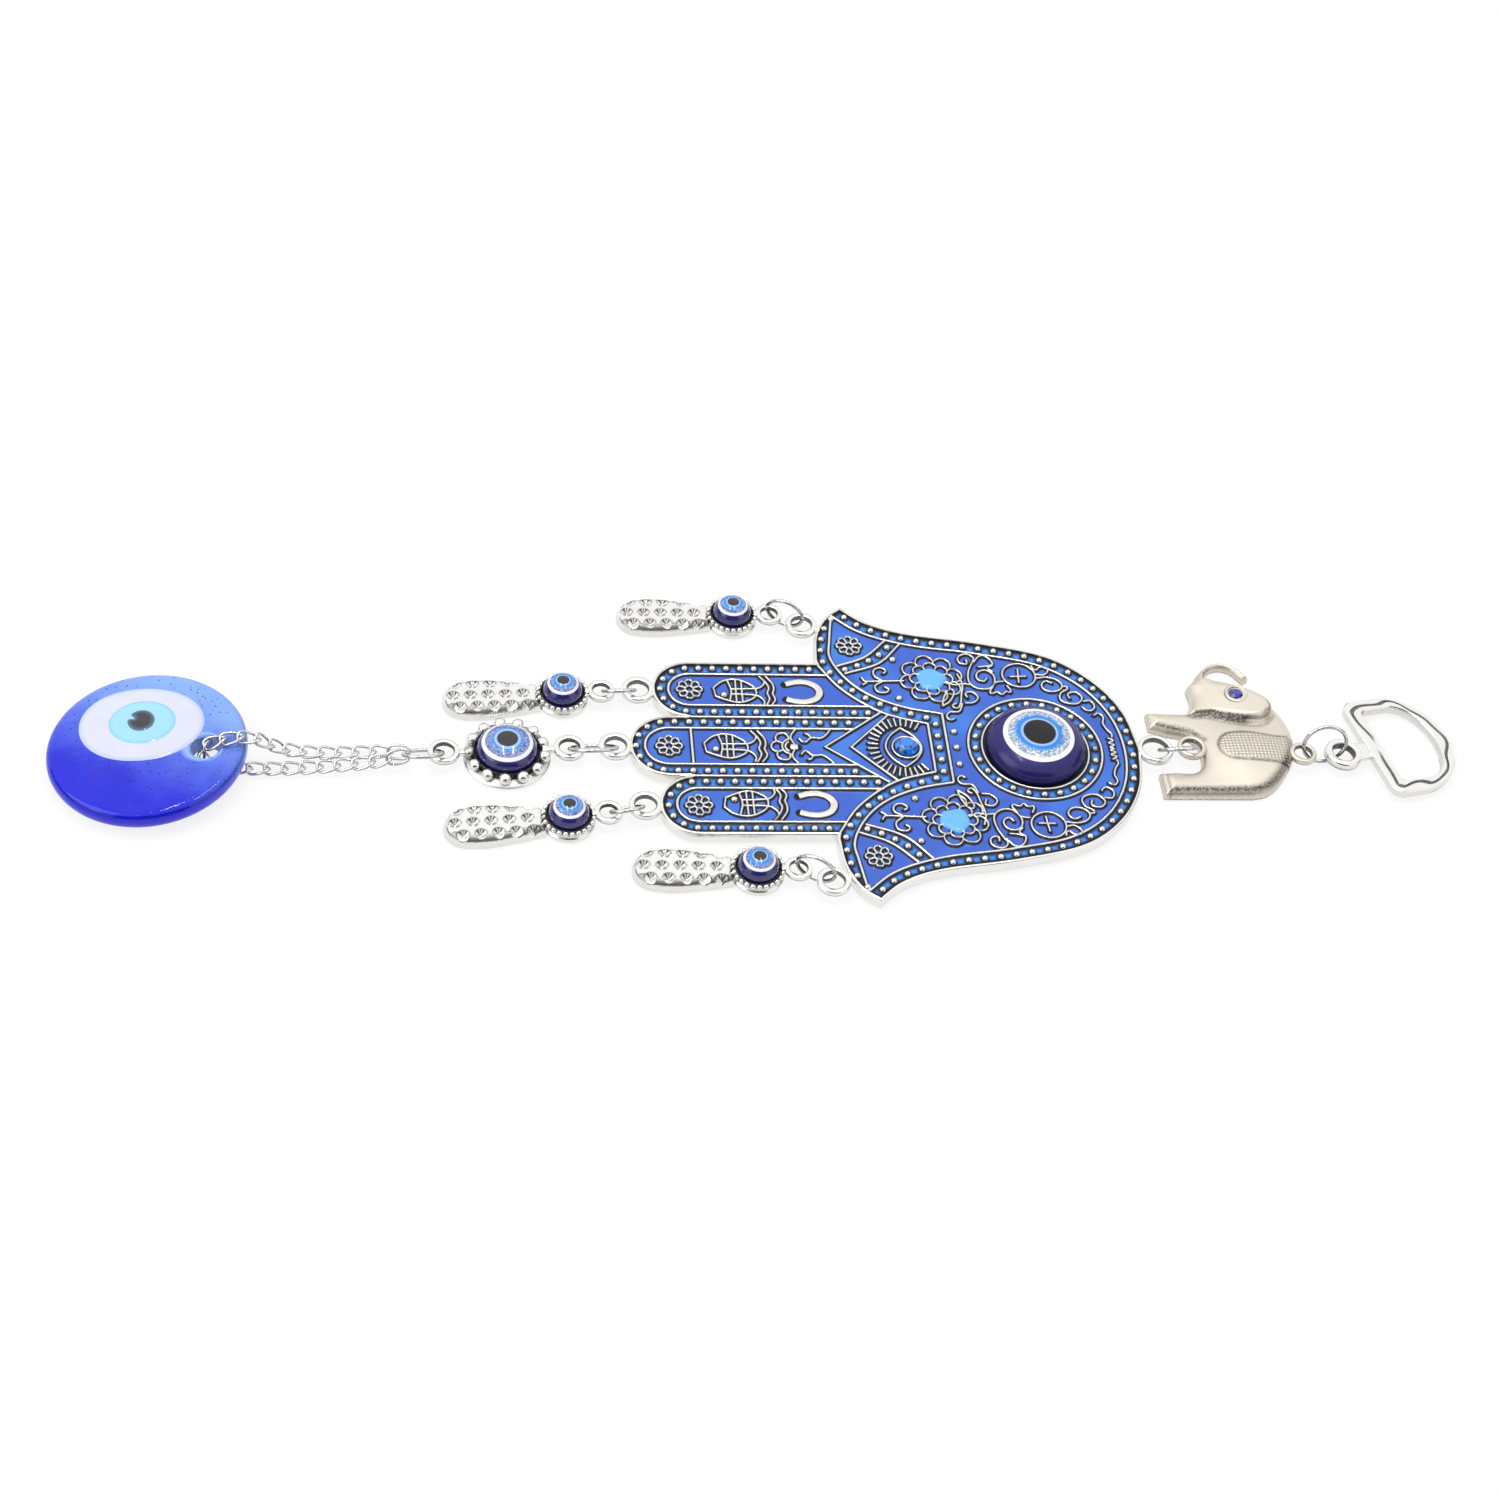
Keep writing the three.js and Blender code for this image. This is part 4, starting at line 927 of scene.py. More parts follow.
def border_lines():
    """The lines that part the hand's fields from its channels of beads."""
    border = palm_line(BORDER)
    half = [smooth_line([border[0], *FIELD_LINE]), smooth_line(BAND_LINE)]
    half += [smooth_line(line) for line in STRIP_LINES]
    half.append(finger_line(*FINGER))
    half.append(np.array([(x, SEAM_Y) for x in SEAM_ENDS]))
    lines = [border, *half, *mirrored(half), *(np.array(line, float) for line in CHEVRONS)]
    middle = finger_line(*MIDDLE)
    across = (FIELD_LINE[-1], BAND_LINE[-1], (MIDDLE_BAR_X, MIDDLE[1]))
    lines += [middle, *(np.array([(x, y), (x, -y)]) for x, y in across)]
    return lines + [ring_of(circle(PALM_EYE, radius, 72)) for radius in BEZEL_LINES]


def scallops(centre, low, high, lobes, turn=0.0):
    """A ring of rounded petals."""
    angle = np.linspace(0, 2 * np.pi, 8 * lobes + 1)
    radius = low + (high - low) * np.abs(np.cos(lobes / 2 * (angle - turn))) ** 0.7
    return np.stack((centre[0] + radius * np.cos(angle), centre[1] + radius * np.sin(angle)), 1)


def spokes(centre, start, end, count, turn=0.0, squash=1.0):
    angle = turn + np.arange(count) * 2 * np.pi / count
    ways = np.stack((np.cos(angle), squash * np.sin(angle)), 1)
    return [np.array((centre + start * way, centre + end * way)) for way in ways]


def rosette(centre):
    petals = 8
    lines = [ring_of(circle(centre, 0.85, 16)), scallops(centre, 1.95, 2.6, petals)]
    return lines + spokes(np.array(centre), 0.85, 2.0, petals, math.pi / petals)


def blossom(centre):
    """The flower round a drop of sky-blue enamel: two rings of petals."""
    lobes = 8
    lines = [scallops(centre, 3.6, 4.5, lobes), scallops(centre, 5.0, 6.6, lobes, 0.2)]
    lines += spokes(np.array(centre), 2.8, 3.7, lobes, math.pi / lobes)
    return lines + spokes(np.array(centre), 4.3, 5.2, lobes, math.pi / lobes + 0.2)


def fish(place):
    body = np.array(FISH_OUTLINE, float)
    lines = [np.concatenate((smooth_line(body, 0.3), body[:1]))]
    lines += [smooth_line(line, 0.3) for line in FISH_LINES]
    return [line + place for line in lines]


def half_flower(centre):
    """Three petals and a half ring, open towards the palm."""
    angle = np.radians(np.linspace(105, 255, 41))
    radius = 3.2 + 1.1 * np.abs(np.cos(3.6 * (angle - math.pi))) ** 0.6
    petals = np.stack((centre[0] + radius * np.cos(angle), centre[1] + radius * np.sin(angle)), 1)
    lines = [petals, arc(centre, 2.1, 105, 150, 16), arc(centre, 1.45, 120, 120, 12)]
    for way in (105, 155, 205, 255):
        heading = np.array((math.cos(math.radians(way)), math.sin(math.radians(way))))
        lines.append(np.array((centre + 2.1 * heading, centre + 3.3 * heading)))
    return lines


def drawn_lines():
    """The fine lines of the hand's pictures."""
    far = [*rosette(ROSETTES[0]), *rosette(ROSETTES[1]), *blossom(FLOWER), *fish((0, PICTURE_Y))]
    far += [smooth_line(line, 0.3) for line in VINES + BRANCHES]
    far.append(arc(MEDALLION, MEDALLION_R, 0, 360, 36, 0.95))
    lines = far + mirrored(far) + rosette(MIDDLE_ROSETTE) + fish(MIDDLE_FISH)
    lines += half_flower(HALF_FLOWER)
    lines.append(ring_of(circle(KITE_EYE, KITE_EYE_R, 32)))
    lines += [smooth_line(lid, 0.3) for lid in KITE_LIDS]
    return lines + rays()


def rays():
    """Lashes round the eye, as many as its kite-shaped field has room for."""
    found = []
    for ray in spokes(np.array(RAYS_AT), *RAY_ENDS, RAYS, 0.05, 1.12):
        x, y = ray[1]
        if x < KITE_TOP and abs(y) < KITE_SLOPE * (x - KITE_POINT):
            found.append(ray)
    return found


def broad_lines():
    """Horseshoes and the small solid fan."""
    shoe = smooth_line(HORSESHOE, 0.4)
    return [shoe + (0, PICTURE_Y), shoe + (0, -PICTURE_Y), np.array(FAN)]


def spaced(line, pitch):
    """Points at an even pitch along a line."""
    length = np.concatenate(([0], np.cumsum(np.linalg.norm(np.diff(line, axis=0), axis=1))))
    stops = np.linspace(0, length[-1], int(length[-1] / pitch) + 1)
    return np.stack([np.interp(stops, length, line[:, i]) for i in (0, 1)], 1)


def bead_rows():
    """Rows of beads in the hand's channels: those of the palm and those of the fingers."""
    wide = [palm_line(BEAD_INSET)[4:-4], np.array(BASE_BEADS)]
    wide.append(ring_of(circle(PALM_EYE, BEZEL_BEADS, 96)))
    band = [smooth_line(BAND_BEADS, 0.3)]
    wide += band + mirrored(band)
    strip = [smooth_line(STRIP_BEADS, 0.3), finger_line(*FINGER_BEADS)]
    fine = strip + mirrored(strip) + [finger_line(*MIDDLE_BEADS)]
    lone = lone_beads(LONE_BEADS)
    fine += lone + mirrored(lone) + lone_beads([MIDDLE_BEAD, *FISH_EYES])
    return wide, fine


def lone_beads(spots):
    """Rows too short for more than one bead."""
    return [np.array([(x, y), (x + 0.01, y)]) for x, y in spots]


def field_areas():
    """Outlines of the hand's plain fields."""
    border = palm_line(BORDER)
    far = border[border[:, 1] >= 0]
    field, band = smooth_line(FIELD_LINE), smooth_line(BAND_LINE)
    strips = [smooth_line(line) for line in STRIP_LINES]
    thumb = np.concatenate((far[far[:, 0] < STRIP_LINES[0][-1][0]], strips[0][::-1], field[:8][::-1]))
    wrist = far[far[:, 0] > STRIP_LINES[1][-1][0]]
    middle = [(PALM_EDGE[0][0] - BORDER, 0), (FIELD_LINE[-1][0], 0)]
    palm = np.concatenate((wrist, middle, field[8:][::-1], strips[1]))
    half = [thumb, palm, np.concatenate((finger_line(*FINGER), [FINGER_CLOSE]))]
    side = band[band[:, 0] > 33]
    kite = np.concatenate((side, (side * (1, -1))[::-1], [CHEVRONS[0][1]]))
    chevron = np.concatenate((np.array(CHEVRONS[0], float), [CHEVRON_CLOSE]))
    return half + mirrored(half) + [finger_line(*MIDDLE), kite, chevron]


def on_hand(lines, z):
    """Drawn lines set on the hand at a height."""
    return [at_height(line - (DRAWING_X, 0), z) for line in lines]


# What a user may change


def colour_prop(name, description, red, green, blue):
    return FloatVectorProperty(name=name, description=description, subtype="COLOR", size=3, min=0, max=1,
                               default=srgb(red, green, blue))


def length_prop(name, description, mm):
    return FloatProperty(name=name, description=description, unit="LENGTH", subtype="DISTANCE", min=0,
                         default=mm * MM, precision=5)


def factor_prop(name, description, default):
    return FloatProperty(name=name, description=description, subtype="FACTOR", min=0, max=1, default=default)


def angle_prop(name, description, degrees):
    return FloatProperty(name=name, description=description, subtype="ANGLE", default=math.radians(degrees))


def power_prop(name, description, watts):
    return FloatProperty(name=name, description=description, unit="POWER", default=watts)


class OrnamentHand(bpy.types.PropertyGroup):
    line_width: length_prop("Border Line", "Width of the lines between fields and channels", 0.52)
    fine_width: length_prop("Fine Line", "Width of the lines of the pictures", 0.42)
    broad_width: length_prop("Broad Line", "Width of the horseshoes' bars", 1.45)
    line_height: length_prop("Line Height", "Half the thickness of the raised lines", 0.24)
    bead_radius: length_prop("Bead Radius", "Radius of the beads in the channels", 0.7)
    wide_pitch: length_prop("Palm Bead Pitch", "Distance between the palm's beads", 3.2)
    fine_pitch: length_prop("Finger Bead Pitch", "Distance between the fingers' beads", 2.86)
    # Painted shade on the enamel beside the silver: how far from a line's middle it reaches
    edge_width: length_prop("Dark Edge", "How far from a line's middle the enamel is dark", 0.68)
    field: colour_prop("Field", "Enamel of the plain fields", 66, 104, 208)
    channel: colour_prop("Channel", "Enamel of the channels of beads", 72, 142, 236)
    # Colour of the painted shade on the enamel beside the silver
    edge: colour_prop("Edge", "Enamel where it meets the silver", 8, 10, 24)
    drop: colour_prop("Drop", "Enamel drops in the flowers", 104, 190, 246)


class OrnamentMetal(bpy.types.PropertyGroup):
    silver: colour_prop("Silver", "Cast silver", 248, 247, 243)
    warm: colour_prop("Warm Silver", "The elephant's silver", 232, 224, 210)
    nickel: colour_prop("Nickel", "Wire of rings and chain", 238, 237, 234)
    # Colour of the painted shade in hollows, down the castings' sides and at the foot of the raised silver
    painted_shade: colour_prop("Burnish", "Darkened hollows", 40, 38, 36)
    roughness: factor_prop("Roughness", "Roughness of the castings", 0.22)
    # How dark the painted shade down the castings' sides is
    side_shade: factor_prop("Side Burnish", "How dark the castings' sides are", 0.16)
    teeth: IntProperty(name="Bezel Teeth", description="Teeth round a small eye", min=8, max=60, default=24)


class OrnamentEyes(bpy.types.PropertyGroup):
    pupil: colour_prop("Pupil", "Middle of the resin eyes", 22, 22, 24)
    iris: colour_prop("Iris", "Ring round the pupil", 40, 140, 230)
    white: colour_prop("White", "White ring", 246, 247, 250)
    navy: colour_prop("Navy", "Outer ring", 40, 34, 112)
    sapphire: colour_prop("Sapphire", "Stone in the hand", 40, 130, 240)
    indigo: colour_prop("Indigo", "Stone at the elephant's brow", 62, 50, 170)


class OrnamentGlass(bpy.types.PropertyGroup):
    cobalt: colour_prop("Cobalt", "Body of the glass", 28, 36, 226)
    pale: colour_prop("Pale Cobalt", "Where the glass is thin", 140, 180, 250)
    violet: colour_prop("Violet", "Clouds in the glass", 66, 40, 196)
    white: colour_prop("White", "Laid white of the eye", 220, 224, 240)
    cyan: colour_prop("Cyan", "Laid light blue of the eye", 164, 224, 246)
    pupil: colour_prop("Pupil", "Laid middle of the eye", 66, 66, 66)


class OrnamentStage(bpy.types.PropertyGroup):
    target: FloatVectorProperty(name="Target", description="Point that the camera looks at", unit="LENGTH",
                                subtype="TRANSLATION", size=3, default=(-0.0583, -0.0012, 0.0028))
    distance: length_prop("Distance", "From the target to the camera", 519)
    azimuth: angle_prop("Azimuth", "Camera's turn round the object", -10.46)
    elevation: angle_prop("Elevation", "Camera's height", 47.25)
    roll: angle_prop("Roll", "Camera's turn about its own line of sight", 8.11)
    lens: FloatProperty(name="Lens", description="Focal length", unit="CAMERA", default=62.52)
    backdrop: colour_prop("Backdrop", "Floor and surroundings", 255, 255, 255)
    strip_power: power_prop("Strip Lamps", "Power of each lamp overhead", 0.8)
    fill_power: power_prop("Soft Lamp", "Power of the lamp to the left", 2.2)
    sky: FloatProperty(name="Sky", description="Strength of the light from all round", min=0, default=0.82)


GROUPS = {"hand": OrnamentHand, "metal": OrnamentMetal, "eyes": OrnamentEyes, "glass": OrnamentGlass,
          "stage": OrnamentStage}


def chosen(context, group):
    """What the user has set for a group of pieces."""
    return getattr(context.scene, "ornament_" + group)


def cast_silver(context):
    """The castings' finish, made by the first operator that wants it."""
    metal = chosen(context, "metal")
    made = bpy.data.materials.get("bright_casting")
    return made or silver_finish("bright_casting", metal, metal.silver, metal.side_shade)


def bright_wire(context):
    return bpy.data.materials.get("bright_wire") or wire_finish(chosen(context, "metal"))


# Stage, in metres

SQUARE = ((-1, -1), (1, -1), (1, 1), (-1, 1))
FLOOR_REACH = 3.0
FLOOR_Z = -0.0004
# Share of the floor's look that is its own glow, and share of the sky's light near the horizon
FLOOR_GLOW = 0.82
SIDE_SKY = 0.5
# Lamps: place, width, length and the setting for their power
LAMPS = {
    "strip_left": ((-0.2, 0.1, 0.72), 0.03, 0.32, "strip_power"),
    "strip_right": ((0.06, 0.1, 0.72), 0.03, 0.32, "strip_power"),
    "soft_left": ((-0.75, -0.15, 0.6), 0.6, 0.6, "fill_power"),
}
# Cards: middle, reach across the floor, lower and upper edge
CARDS = {
    "card_front": ((-0.1, -0.75), (1.2, 0), (0.1, 0.75)),
    "card_left": ((-0.95, 0.1), (0, 0.6), (0.05, 0.3)),
    "card_right": ((0.85, 0.1), (0, 0.6), (0.05, 0.35)),
    "card_back": ((-0.1, 1.1), (1.0, 0), (0.02, 0.22)),
}


class ORNAMENT_OT_stage(bpy.types.Operator):
    """Sets the camera, the floor and the light"""

    bl_idname = "ornament.stage"
    bl_label = "Stage"

    def execute(self, context):
        stage = chosen(context, "stage")
        scene = context.scene
        scene.view_settings.view_transform = "Standard"
        turn, up = stage.azimuth, stage.elevation
        back = Vector((math.sin(turn) * math.cos(up), -math.cos(turn) * math.cos(up), math.sin(up)))
        camera = bpy.data.objects.new("camera", bpy.data.cameras.new("camera"))
        camera.data.lens = stage.lens
        camera.data.clip_start, camera.data.clip_end = 0.01, 20
        level = back.to_track_quat("Z", "Y").to_matrix().to_4x4()
        camera.matrix_world = (Matrix.Translation(Vector(stage.target) + back * stage.distance) @ level
                               @ Matrix.Rotation(stage.roll, 4, "Z"))
        scene.collection.objects.link(camera)
        scene.camera = camera
        self.floor(stage)
        self.world(stage)
        self.lamps(stage)
        self.cards()
        return {"FINISHED"}

    def seen(self, nodes):
        """1 where the camera, a mirror or glass looks."""
        rays = [nodes.add("ShaderNodeLightPath", None, None, ray)
                for ray in ("Is Camera Ray", "Is Glossy Ray", "Is Transmission Ray")]
        return rays[0].most(rays[1]).most(rays[2])

    def floor(self, stage):
        mesh = bpy.data.meshes.new("floor")
        corners = [(x * FLOOR_REACH, y * FLOOR_REACH, FLOOR_Z) for x, y in SQUARE]
        mesh.from_pydata(corners, [], [(0, 1, 2, 3)])
        floor = bpy.data.objects.new("floor", mesh)
        bpy.context.scene.collection.objects.link(floor)
        material = bpy.data.materials.new("backdrop_paper")
        material.use_nodes = True
        nodes = Nodes(material.node_tree)
        nodes.tree.nodes.clear()
        colour = (*stage.backdrop, 1)
        grain = nodes.add("ShaderNodeTexNoise", None, {"Scale": 400.0})
        matt = nodes.add("ShaderNodeBsdfDiffuse", None, {"Color": colour, "Roughness": grain})
        glow = nodes.add("ShaderNodeEmission", None, {"Color": colour, "Strength": 1.0})
        mixed = nodes.add("ShaderNodeMixShader", None, {0: self.seen(nodes) * FLOOR_GLOW, 1: matt, 2: glow})
        out = nodes.tree.nodes.new("ShaderNodeOutputMaterial")
        nodes.tree.links.new(mixed.socket, out.inputs["Surface"])
        mesh.materials.append(material)

    def world(self, stage):
        """Soft light, stronger from above; mirrors and glass see the backdrop's plain white."""
        world = bpy.data.worlds.new("studio")
        world.use_nodes = True
        bpy.context.scene.world = world
        nodes = Nodes(world.node_tree)
        nodes.tree.nodes.clear()
        way = nodes.add("ShaderNodeTexCoord", None, None, "Generated")
        high = nodes.add("ShaderNodeSeparateXYZ", None, {0: way}, "Z")
        facts = {0: high, 1: 0.0, 2: 0.9, 3: SIDE_SKY * stage.sky, 4: stage.sky}
        soft = nodes.add("ShaderNodeMapRange", {"interpolation_type": "SMOOTHSTEP"}, facts)
        seen = self.seen(nodes)
        strength = soft * (1 - seen) + seen
        glow = nodes.add("ShaderNodeBackground", None, {"Color": (*stage.backdrop, 1), "Strength": strength})
        out = nodes.tree.nodes.new("ShaderNodeOutputWorld")
        nodes.tree.links.new(glow.socket, out.inputs["Surface"])

    def lamps(self, stage):
        """Two strip lamps that hang level overhead and a soft one that looks at the object."""
        for name, (place, wide, long, power) in LAMPS.items():
            lamp = bpy.data.lights.new(name, "AREA")
            lamp.shape = "RECTANGLE"
            lamp.size, lamp.size_y = wide, long
            lamp.energy = getattr(stage, power)
            holder = bpy.data.objects.new(name, lamp)
            holder.location = place
            aim = (*place[:2], 0) if name.startswith("strip") else stage.target
            holder.rotation_euler = (Vector(aim) - Vector(place)).to_track_quat("-Z", "Y").to_euler()
            bpy.context.scene.collection.objects.link(holder)

    def cards(self):
        """Dark cards out of sight, which the metal mirrors."""
        cloth = Finish("card_cloth")
        cloth.set("Base Color", cloth.blend(cloth.noise(20), srgb(20, 20, 20), srgb(30, 30, 30)))
        cloth.set("Roughness", 0.9)
        for name, ((x, y), (wide, deep), edges) in CARDS.items():
            mesh = bpy.data.meshes.new(name)
            corners = [(x + wide / 2 * side, y + deep / 2 * side, edges[end > 0]) for side, end in SQUARE]
            mesh.from_pydata(corners, [], [(0, 1, 2, 3)])
            mesh.materials.append(cloth.material)
            card = bpy.data.objects.new(name, mesh)
            card.visible_camera = False
            card.visible_diffuse = False
            card.visible_shadow = False
            bpy.context.scene.collection.objects.link(card)


# Hand

# Cast eyes: radius and thickness as round wire, and how much wider they are
FINGER_EYE = (2.55, 0.48, 0.75)
WRIST_EYE = (3.15, 0.55, 0.0)
MIDDLE_EYE_X = -85.05
WRIST_EYE_X = 25.0
# How dark the painted shade down the hand plate's sides is
HAND_SIDE_SHADE = 0.08
# The plate's edge from its back to its floor: distance inside the outline, height and shade
PLATE_EDGE = (
    (0.35, 0, 0.3), (0, 0.35, 0), (0, 2.5, 0), (0.12, 2.72, 0), (0.3, PLATE_TOP, 0), (0.48, PLATE_TOP, 0.1),
    (0.62, 2.6, 1), (RIM, 2.2, 1),
)
# Enamel: its underside, how far it climbs at the silver, and what bars and beads cover beside their middle
ENAMEL_BED = 2.25
ENAMEL_CLIMB = 0.14
BAR_COVER = 0.45
BEAD_COVER = 0.3
BEAD_Z = ENAMEL_Z + 0.1
DROP_R = 3.0
# The painted shade beside the silver lies more on the enamel's near side
NEAR_SHADE = 0.14


class ORNAMENT_OT_hand(bpy.types.Operator):
    """Makes the hand: cast plate, enamel, raised lines, beads and drops"""

    bl_idname = "ornament.hand"
    bl_label = "Hand"

    def execute(self, context):
        hand = chosen(context, "hand")
        outline = base_outline("hand_plate", 0.5)
        self.plate(context, outline)
        raised = raised_silver_finish(chosen(context, "metal"))
        borders, drawn, broad = border_lines(), drawn_lines(), broad_lines()
        wide, fine = bead_rows()
        wires, beads = wire_recipe(), bead_recipe()
        sets = (("hand_borders", borders, hand.line_width), ("hand_pictures", drawn, hand.fine_width),
                ("hand_horseshoes", broad, hand.broad_width))
        for name, lines, width in sets:
            facts = {"Width": width, "Height": hand.line_height, "Material": raised}
            mesh = wires.follow(name, on_hand(lines, PLATE_TOP - hand.line_height / MM), **facts)
            settle(name, mesh, raised, "hand")
        spots = []
        rows_of = {"hand_palm_beads": (wide, hand.wide_pitch), "hand_finger_beads": (fine, hand.fine_pitch)}
        for name, (rows, pitch) in rows_of.items():
            facts = {"Pitch": pitch, "Radius": hand.bead_radius, "Material": raised}
            mesh = beads.follow(name, on_hand(rows, BEAD_Z), **facts)
            settle(name, mesh, raised, "hand", sharp=180)
            spots += [spaced(row, pitch / MM) for row in rows]
        self.enamel(hand, outline, borders + drawn, broad, np.concatenate(spots))
        self.drops(hand)
        return {"FINISHED"}

    def plate(self, context, outline):
        """The cast plate with its rim, and the wire eyes that the rings hang in."""
        form = Form("shade")
        loops = [at_height(inset(outline, distance), z) for distance, z, _ in PLATE_EDGE]
        form.add(loft(loops), shade=np.repeat([shade for _, _, shade in PLATE_EDGE], len(outline)))
        eyes = [(joint_place(name + "_ring_swing")[0], FINGER_EYE) for name in DANGLES]
        eyes.append((np.array((MIDDLE_EYE_X, 0, EYE_Z)), FINGER_EYE))
        eyes.append((np.array((WRIST_EYE_X, 0, EYE_Z)), WRIST_EYE))
        for middle, eye in eyes:
            form.add(placed(cast_eye(*eye), middle), shade=eye_shade())
            nearest = outline[np.argmin(np.linalg.norm(outline - middle[:2], axis=1))]
            away = np.array((*(nearest - middle[:2]), 0.0))
            reach = np.linalg.norm(away)
            form.add(placed(stem(eye[0], reach + 0.5, 0), middle, away))
        metal = chosen(context, "metal")
        finish = silver_finish("hand_casting", metal, metal.silver, HAND_SIDE_SHADE)
        settle("hand_plate_cast", form.mesh(), finish, "hand", ["hand_plate"])

    def enamel(self, hand, outline, lines, broad, beads):
        """The poured enamel, marked with how near the silver is and with what lies in a channel."""
        edge = inset(outline, RIM - 0.06)
        shift = np.array((DRAWING_X, 0))
        marks = {}

        def height(flat, depth):
            drawn = flat + shift
            near = drawn + (0, NEAR_SHADE)
            gap = np.minimum(gap_to(near, lines), 1.1 * depth)
            gap = np.minimum(gap, gap_to(near, broad) - BAR_COVER)
            gap = np.minimum(gap, gap_to(near, [beads], 99) - BEAD_COVER)
            out = np.linalg.norm(drawn - PALM_EYE, axis=1)
            gap[out < BEZEL_LINES[0]] = 0
            fields = np.zeros(len(flat), bool)
            for area in field_areas():
                fields |= inside(drawn, area)
            fields &= out > BEZEL_LINES[1]
            marks["line_gap"] = gap
            marks["channel"] = 1.0 - fields
            return ENAMEL_Z + ENAMEL_CLIMB * (1 - rise(gap, 0.25, 0.8))

        shape = relief(edge, 0.3, height, ENAMEL_BED)
        form = Form("line_gap", "channel")
        form.add(shape, **{mark: with_base(shape, values) for mark, values in marks.items()})
        settle("hand_enamel", form.mesh(), enamel_finish(hand), "hand")

    def drops(self, hand):
        """The sky-blue drops in the flowers, a little uneven."""
        finish = drop_finish(hand)
        turn = np.linspace(0, 2 * np.pi, 48, endpoint=False)

        def height(flat, depth):
            return ENAMEL_Z + 0.15 + 0.45 * bulge(depth, 1.4)

        for side, sign in (("far", 1), ("near", -1)):
            name = "flower_drop_" + side
            radius = DROP_R * (1 + 0.06 * np.sin(3 * turn + sign) + 0.05 * np.cos(5 * turn - sign))
            outline = np.stack((radius * np.cos(turn), radius * np.sin(turn)), 1) + node_middle(name)[:2]
            form = Form()
            form.add(relief(outline, 0.3, height, ENAMEL_Z - 0.05))
            settle(name + "_enamel", form.mesh(), finish, "hand", [name])


# Eyes and stones

# Where the rings of each kind of eye end, as shares of its radius
EYE_RINGS = {
    "palm": (0.335, 0.38, 0.5, 0.64, 0.73), "connector": (0.35, 0.44, 0.52, 0.74, 0.85),
    "dangle": (0.31, 0.37, 0.55, 0.68, 0.79),
}


def dome(radius, height, shares, steps=64):
    """A cabochon: a short wall and a dome, with a row of points where each ring ends."""
    wall = 0.25 * height
    turn = np.sort(np.concatenate((np.linspace(0, 0.5 * np.pi, 26)[:-1], np.arccos(shares))))
    profile = [(radius * 0.96, 0), (radius, 0.12 * wall)]
    profile += [(radius * math.cos(t), wall + (height - wall) * math.sin(t)) for t in turn]
    return lathe([(0, 0), *profile, (0, height)], steps)


def gem(radius, height, facets=8):
    """The corners of a round stone cut with a table and two rows of facets."""
    half = np.pi / facets
    rings = ((radius, 0.0, 2 * facets, 0), (radius, 0.3 * height, 2 * facets, 0),
             (0.76 * radius, 0.75 * height, facets, half), (0.5 * radius, height, facets, 0))
    points = []
    for size, z, count, start in rings:
        turn = start + np.arange(count) * 2 * np.pi / count
        points.append(np.column_stack((size * np.cos(turn), size * np.sin(turn), np.full(count, z))))
    return np.concatenate(points)


def seat_of(node):
    """Radius, height and the middle of the underside of a round CAD node."""
    low, high = (np.array(corner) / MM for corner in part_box(node))
    middle = (low + high) / 2
    return (high[0] - low[0]) / 2, high[2] - low[2], np.array((middle[0], middle[1], low[2]))


class ORNAMENT_OT_eyes(bpy.types.Operator):
    """Makes the resin eyes and the cut stones"""

    bl_idname = "ornament.eyes"
    bl_label = "Eyes and Stones"

    def execute(self, context):
        eyes = chosen(context, "eyes")
        grey = eye_finish("palm_resin", eyes, srgb(206, 216, 230), 0.6, 0.3, 0.15)
        blue = eye_finish("small_resin", eyes, srgb(40, 74, 184), 0.45, 0.2, 1.0)
        kinds = {"palm_eye": ("hand", "palm", grey), "connector_eye": ("connector", "connector", blue)}
        kinds.update({name + "_eye": (name + "_dangle", "dangle", blue) for name in DANGLES})
        for node, (body, kind, finish) in kinds.items():
            radius, height, foot = seat_of(node)
            points, faces = dome(radius, height, EYE_RINGS[kind])
            share = np.linalg.norm(points[:, :2], axis=1) / radius
            ring = np.interp(share, (0, *EYE_RINGS[kind], 1), np.linspace(0, 1, 7))
            form = Form("ring")
            form.add((points + foot, faces), ring=ring)
            settle(node + "_cabochon", form.mesh(), finish, body, [node], sharp=60)
        stones = (("kite_stone", "hand", eyes.sapphire), ("elephant_stone", "elephant", eyes.indigo))
        for node, body, colour in stones:
            radius, height, foot = seat_of(node)
            mesh = hull_mesh(gem(radius, height) + foot)
            stone = gem_finish(node + "_glass", colour)
            settle(node + "_cut", mesh, stone, body, [node], sharp=5)
        return {"FINISHED"}


def hull_mesh(points):
    shape = bmesh.new()
    for point in points * MM:
        shape.verts.new(point)
    bmesh.ops.convex_hull(shape, input=shape.verts)
    bmesh.ops.recalc_face_normals(shape, faces=shape.faces)
    mesh = bpy.data.meshes.new("hull")
    shape.to_mesh(mesh)
    shape.free()
    return mesh


# Dangles

CUP_AT = 7.8
DANGLE_EYE = (2.1, 0.42, 0.75)
FEATHER = [
    (12.4, -3.1), (17.2, -4.0), (26, -4.8), (30.4, -3.5), (32, 0), (30.4, 3.5), (26, 4.8), (17.2, 4.0),
    (12.4, 3.1),
]
# Height of the feather's edge, and how high and how far inside it the feather rounds over
FEATHER_EDGE = 0.6
FEATHER_RISE = 1.9
FEATHER_ROUND = 1.5
# Dimples: y of a row, x of its first dimple and the pitch
DIMPLE_ROWS = ((-3.0, 15.2, 3.5), (0.0, 15.8, 3.5), (3.0, 14.9, 3.4))
DIMPLES = 5
DIMPLE_R = 1.22
DIMPLE_DEPTH = 0.9
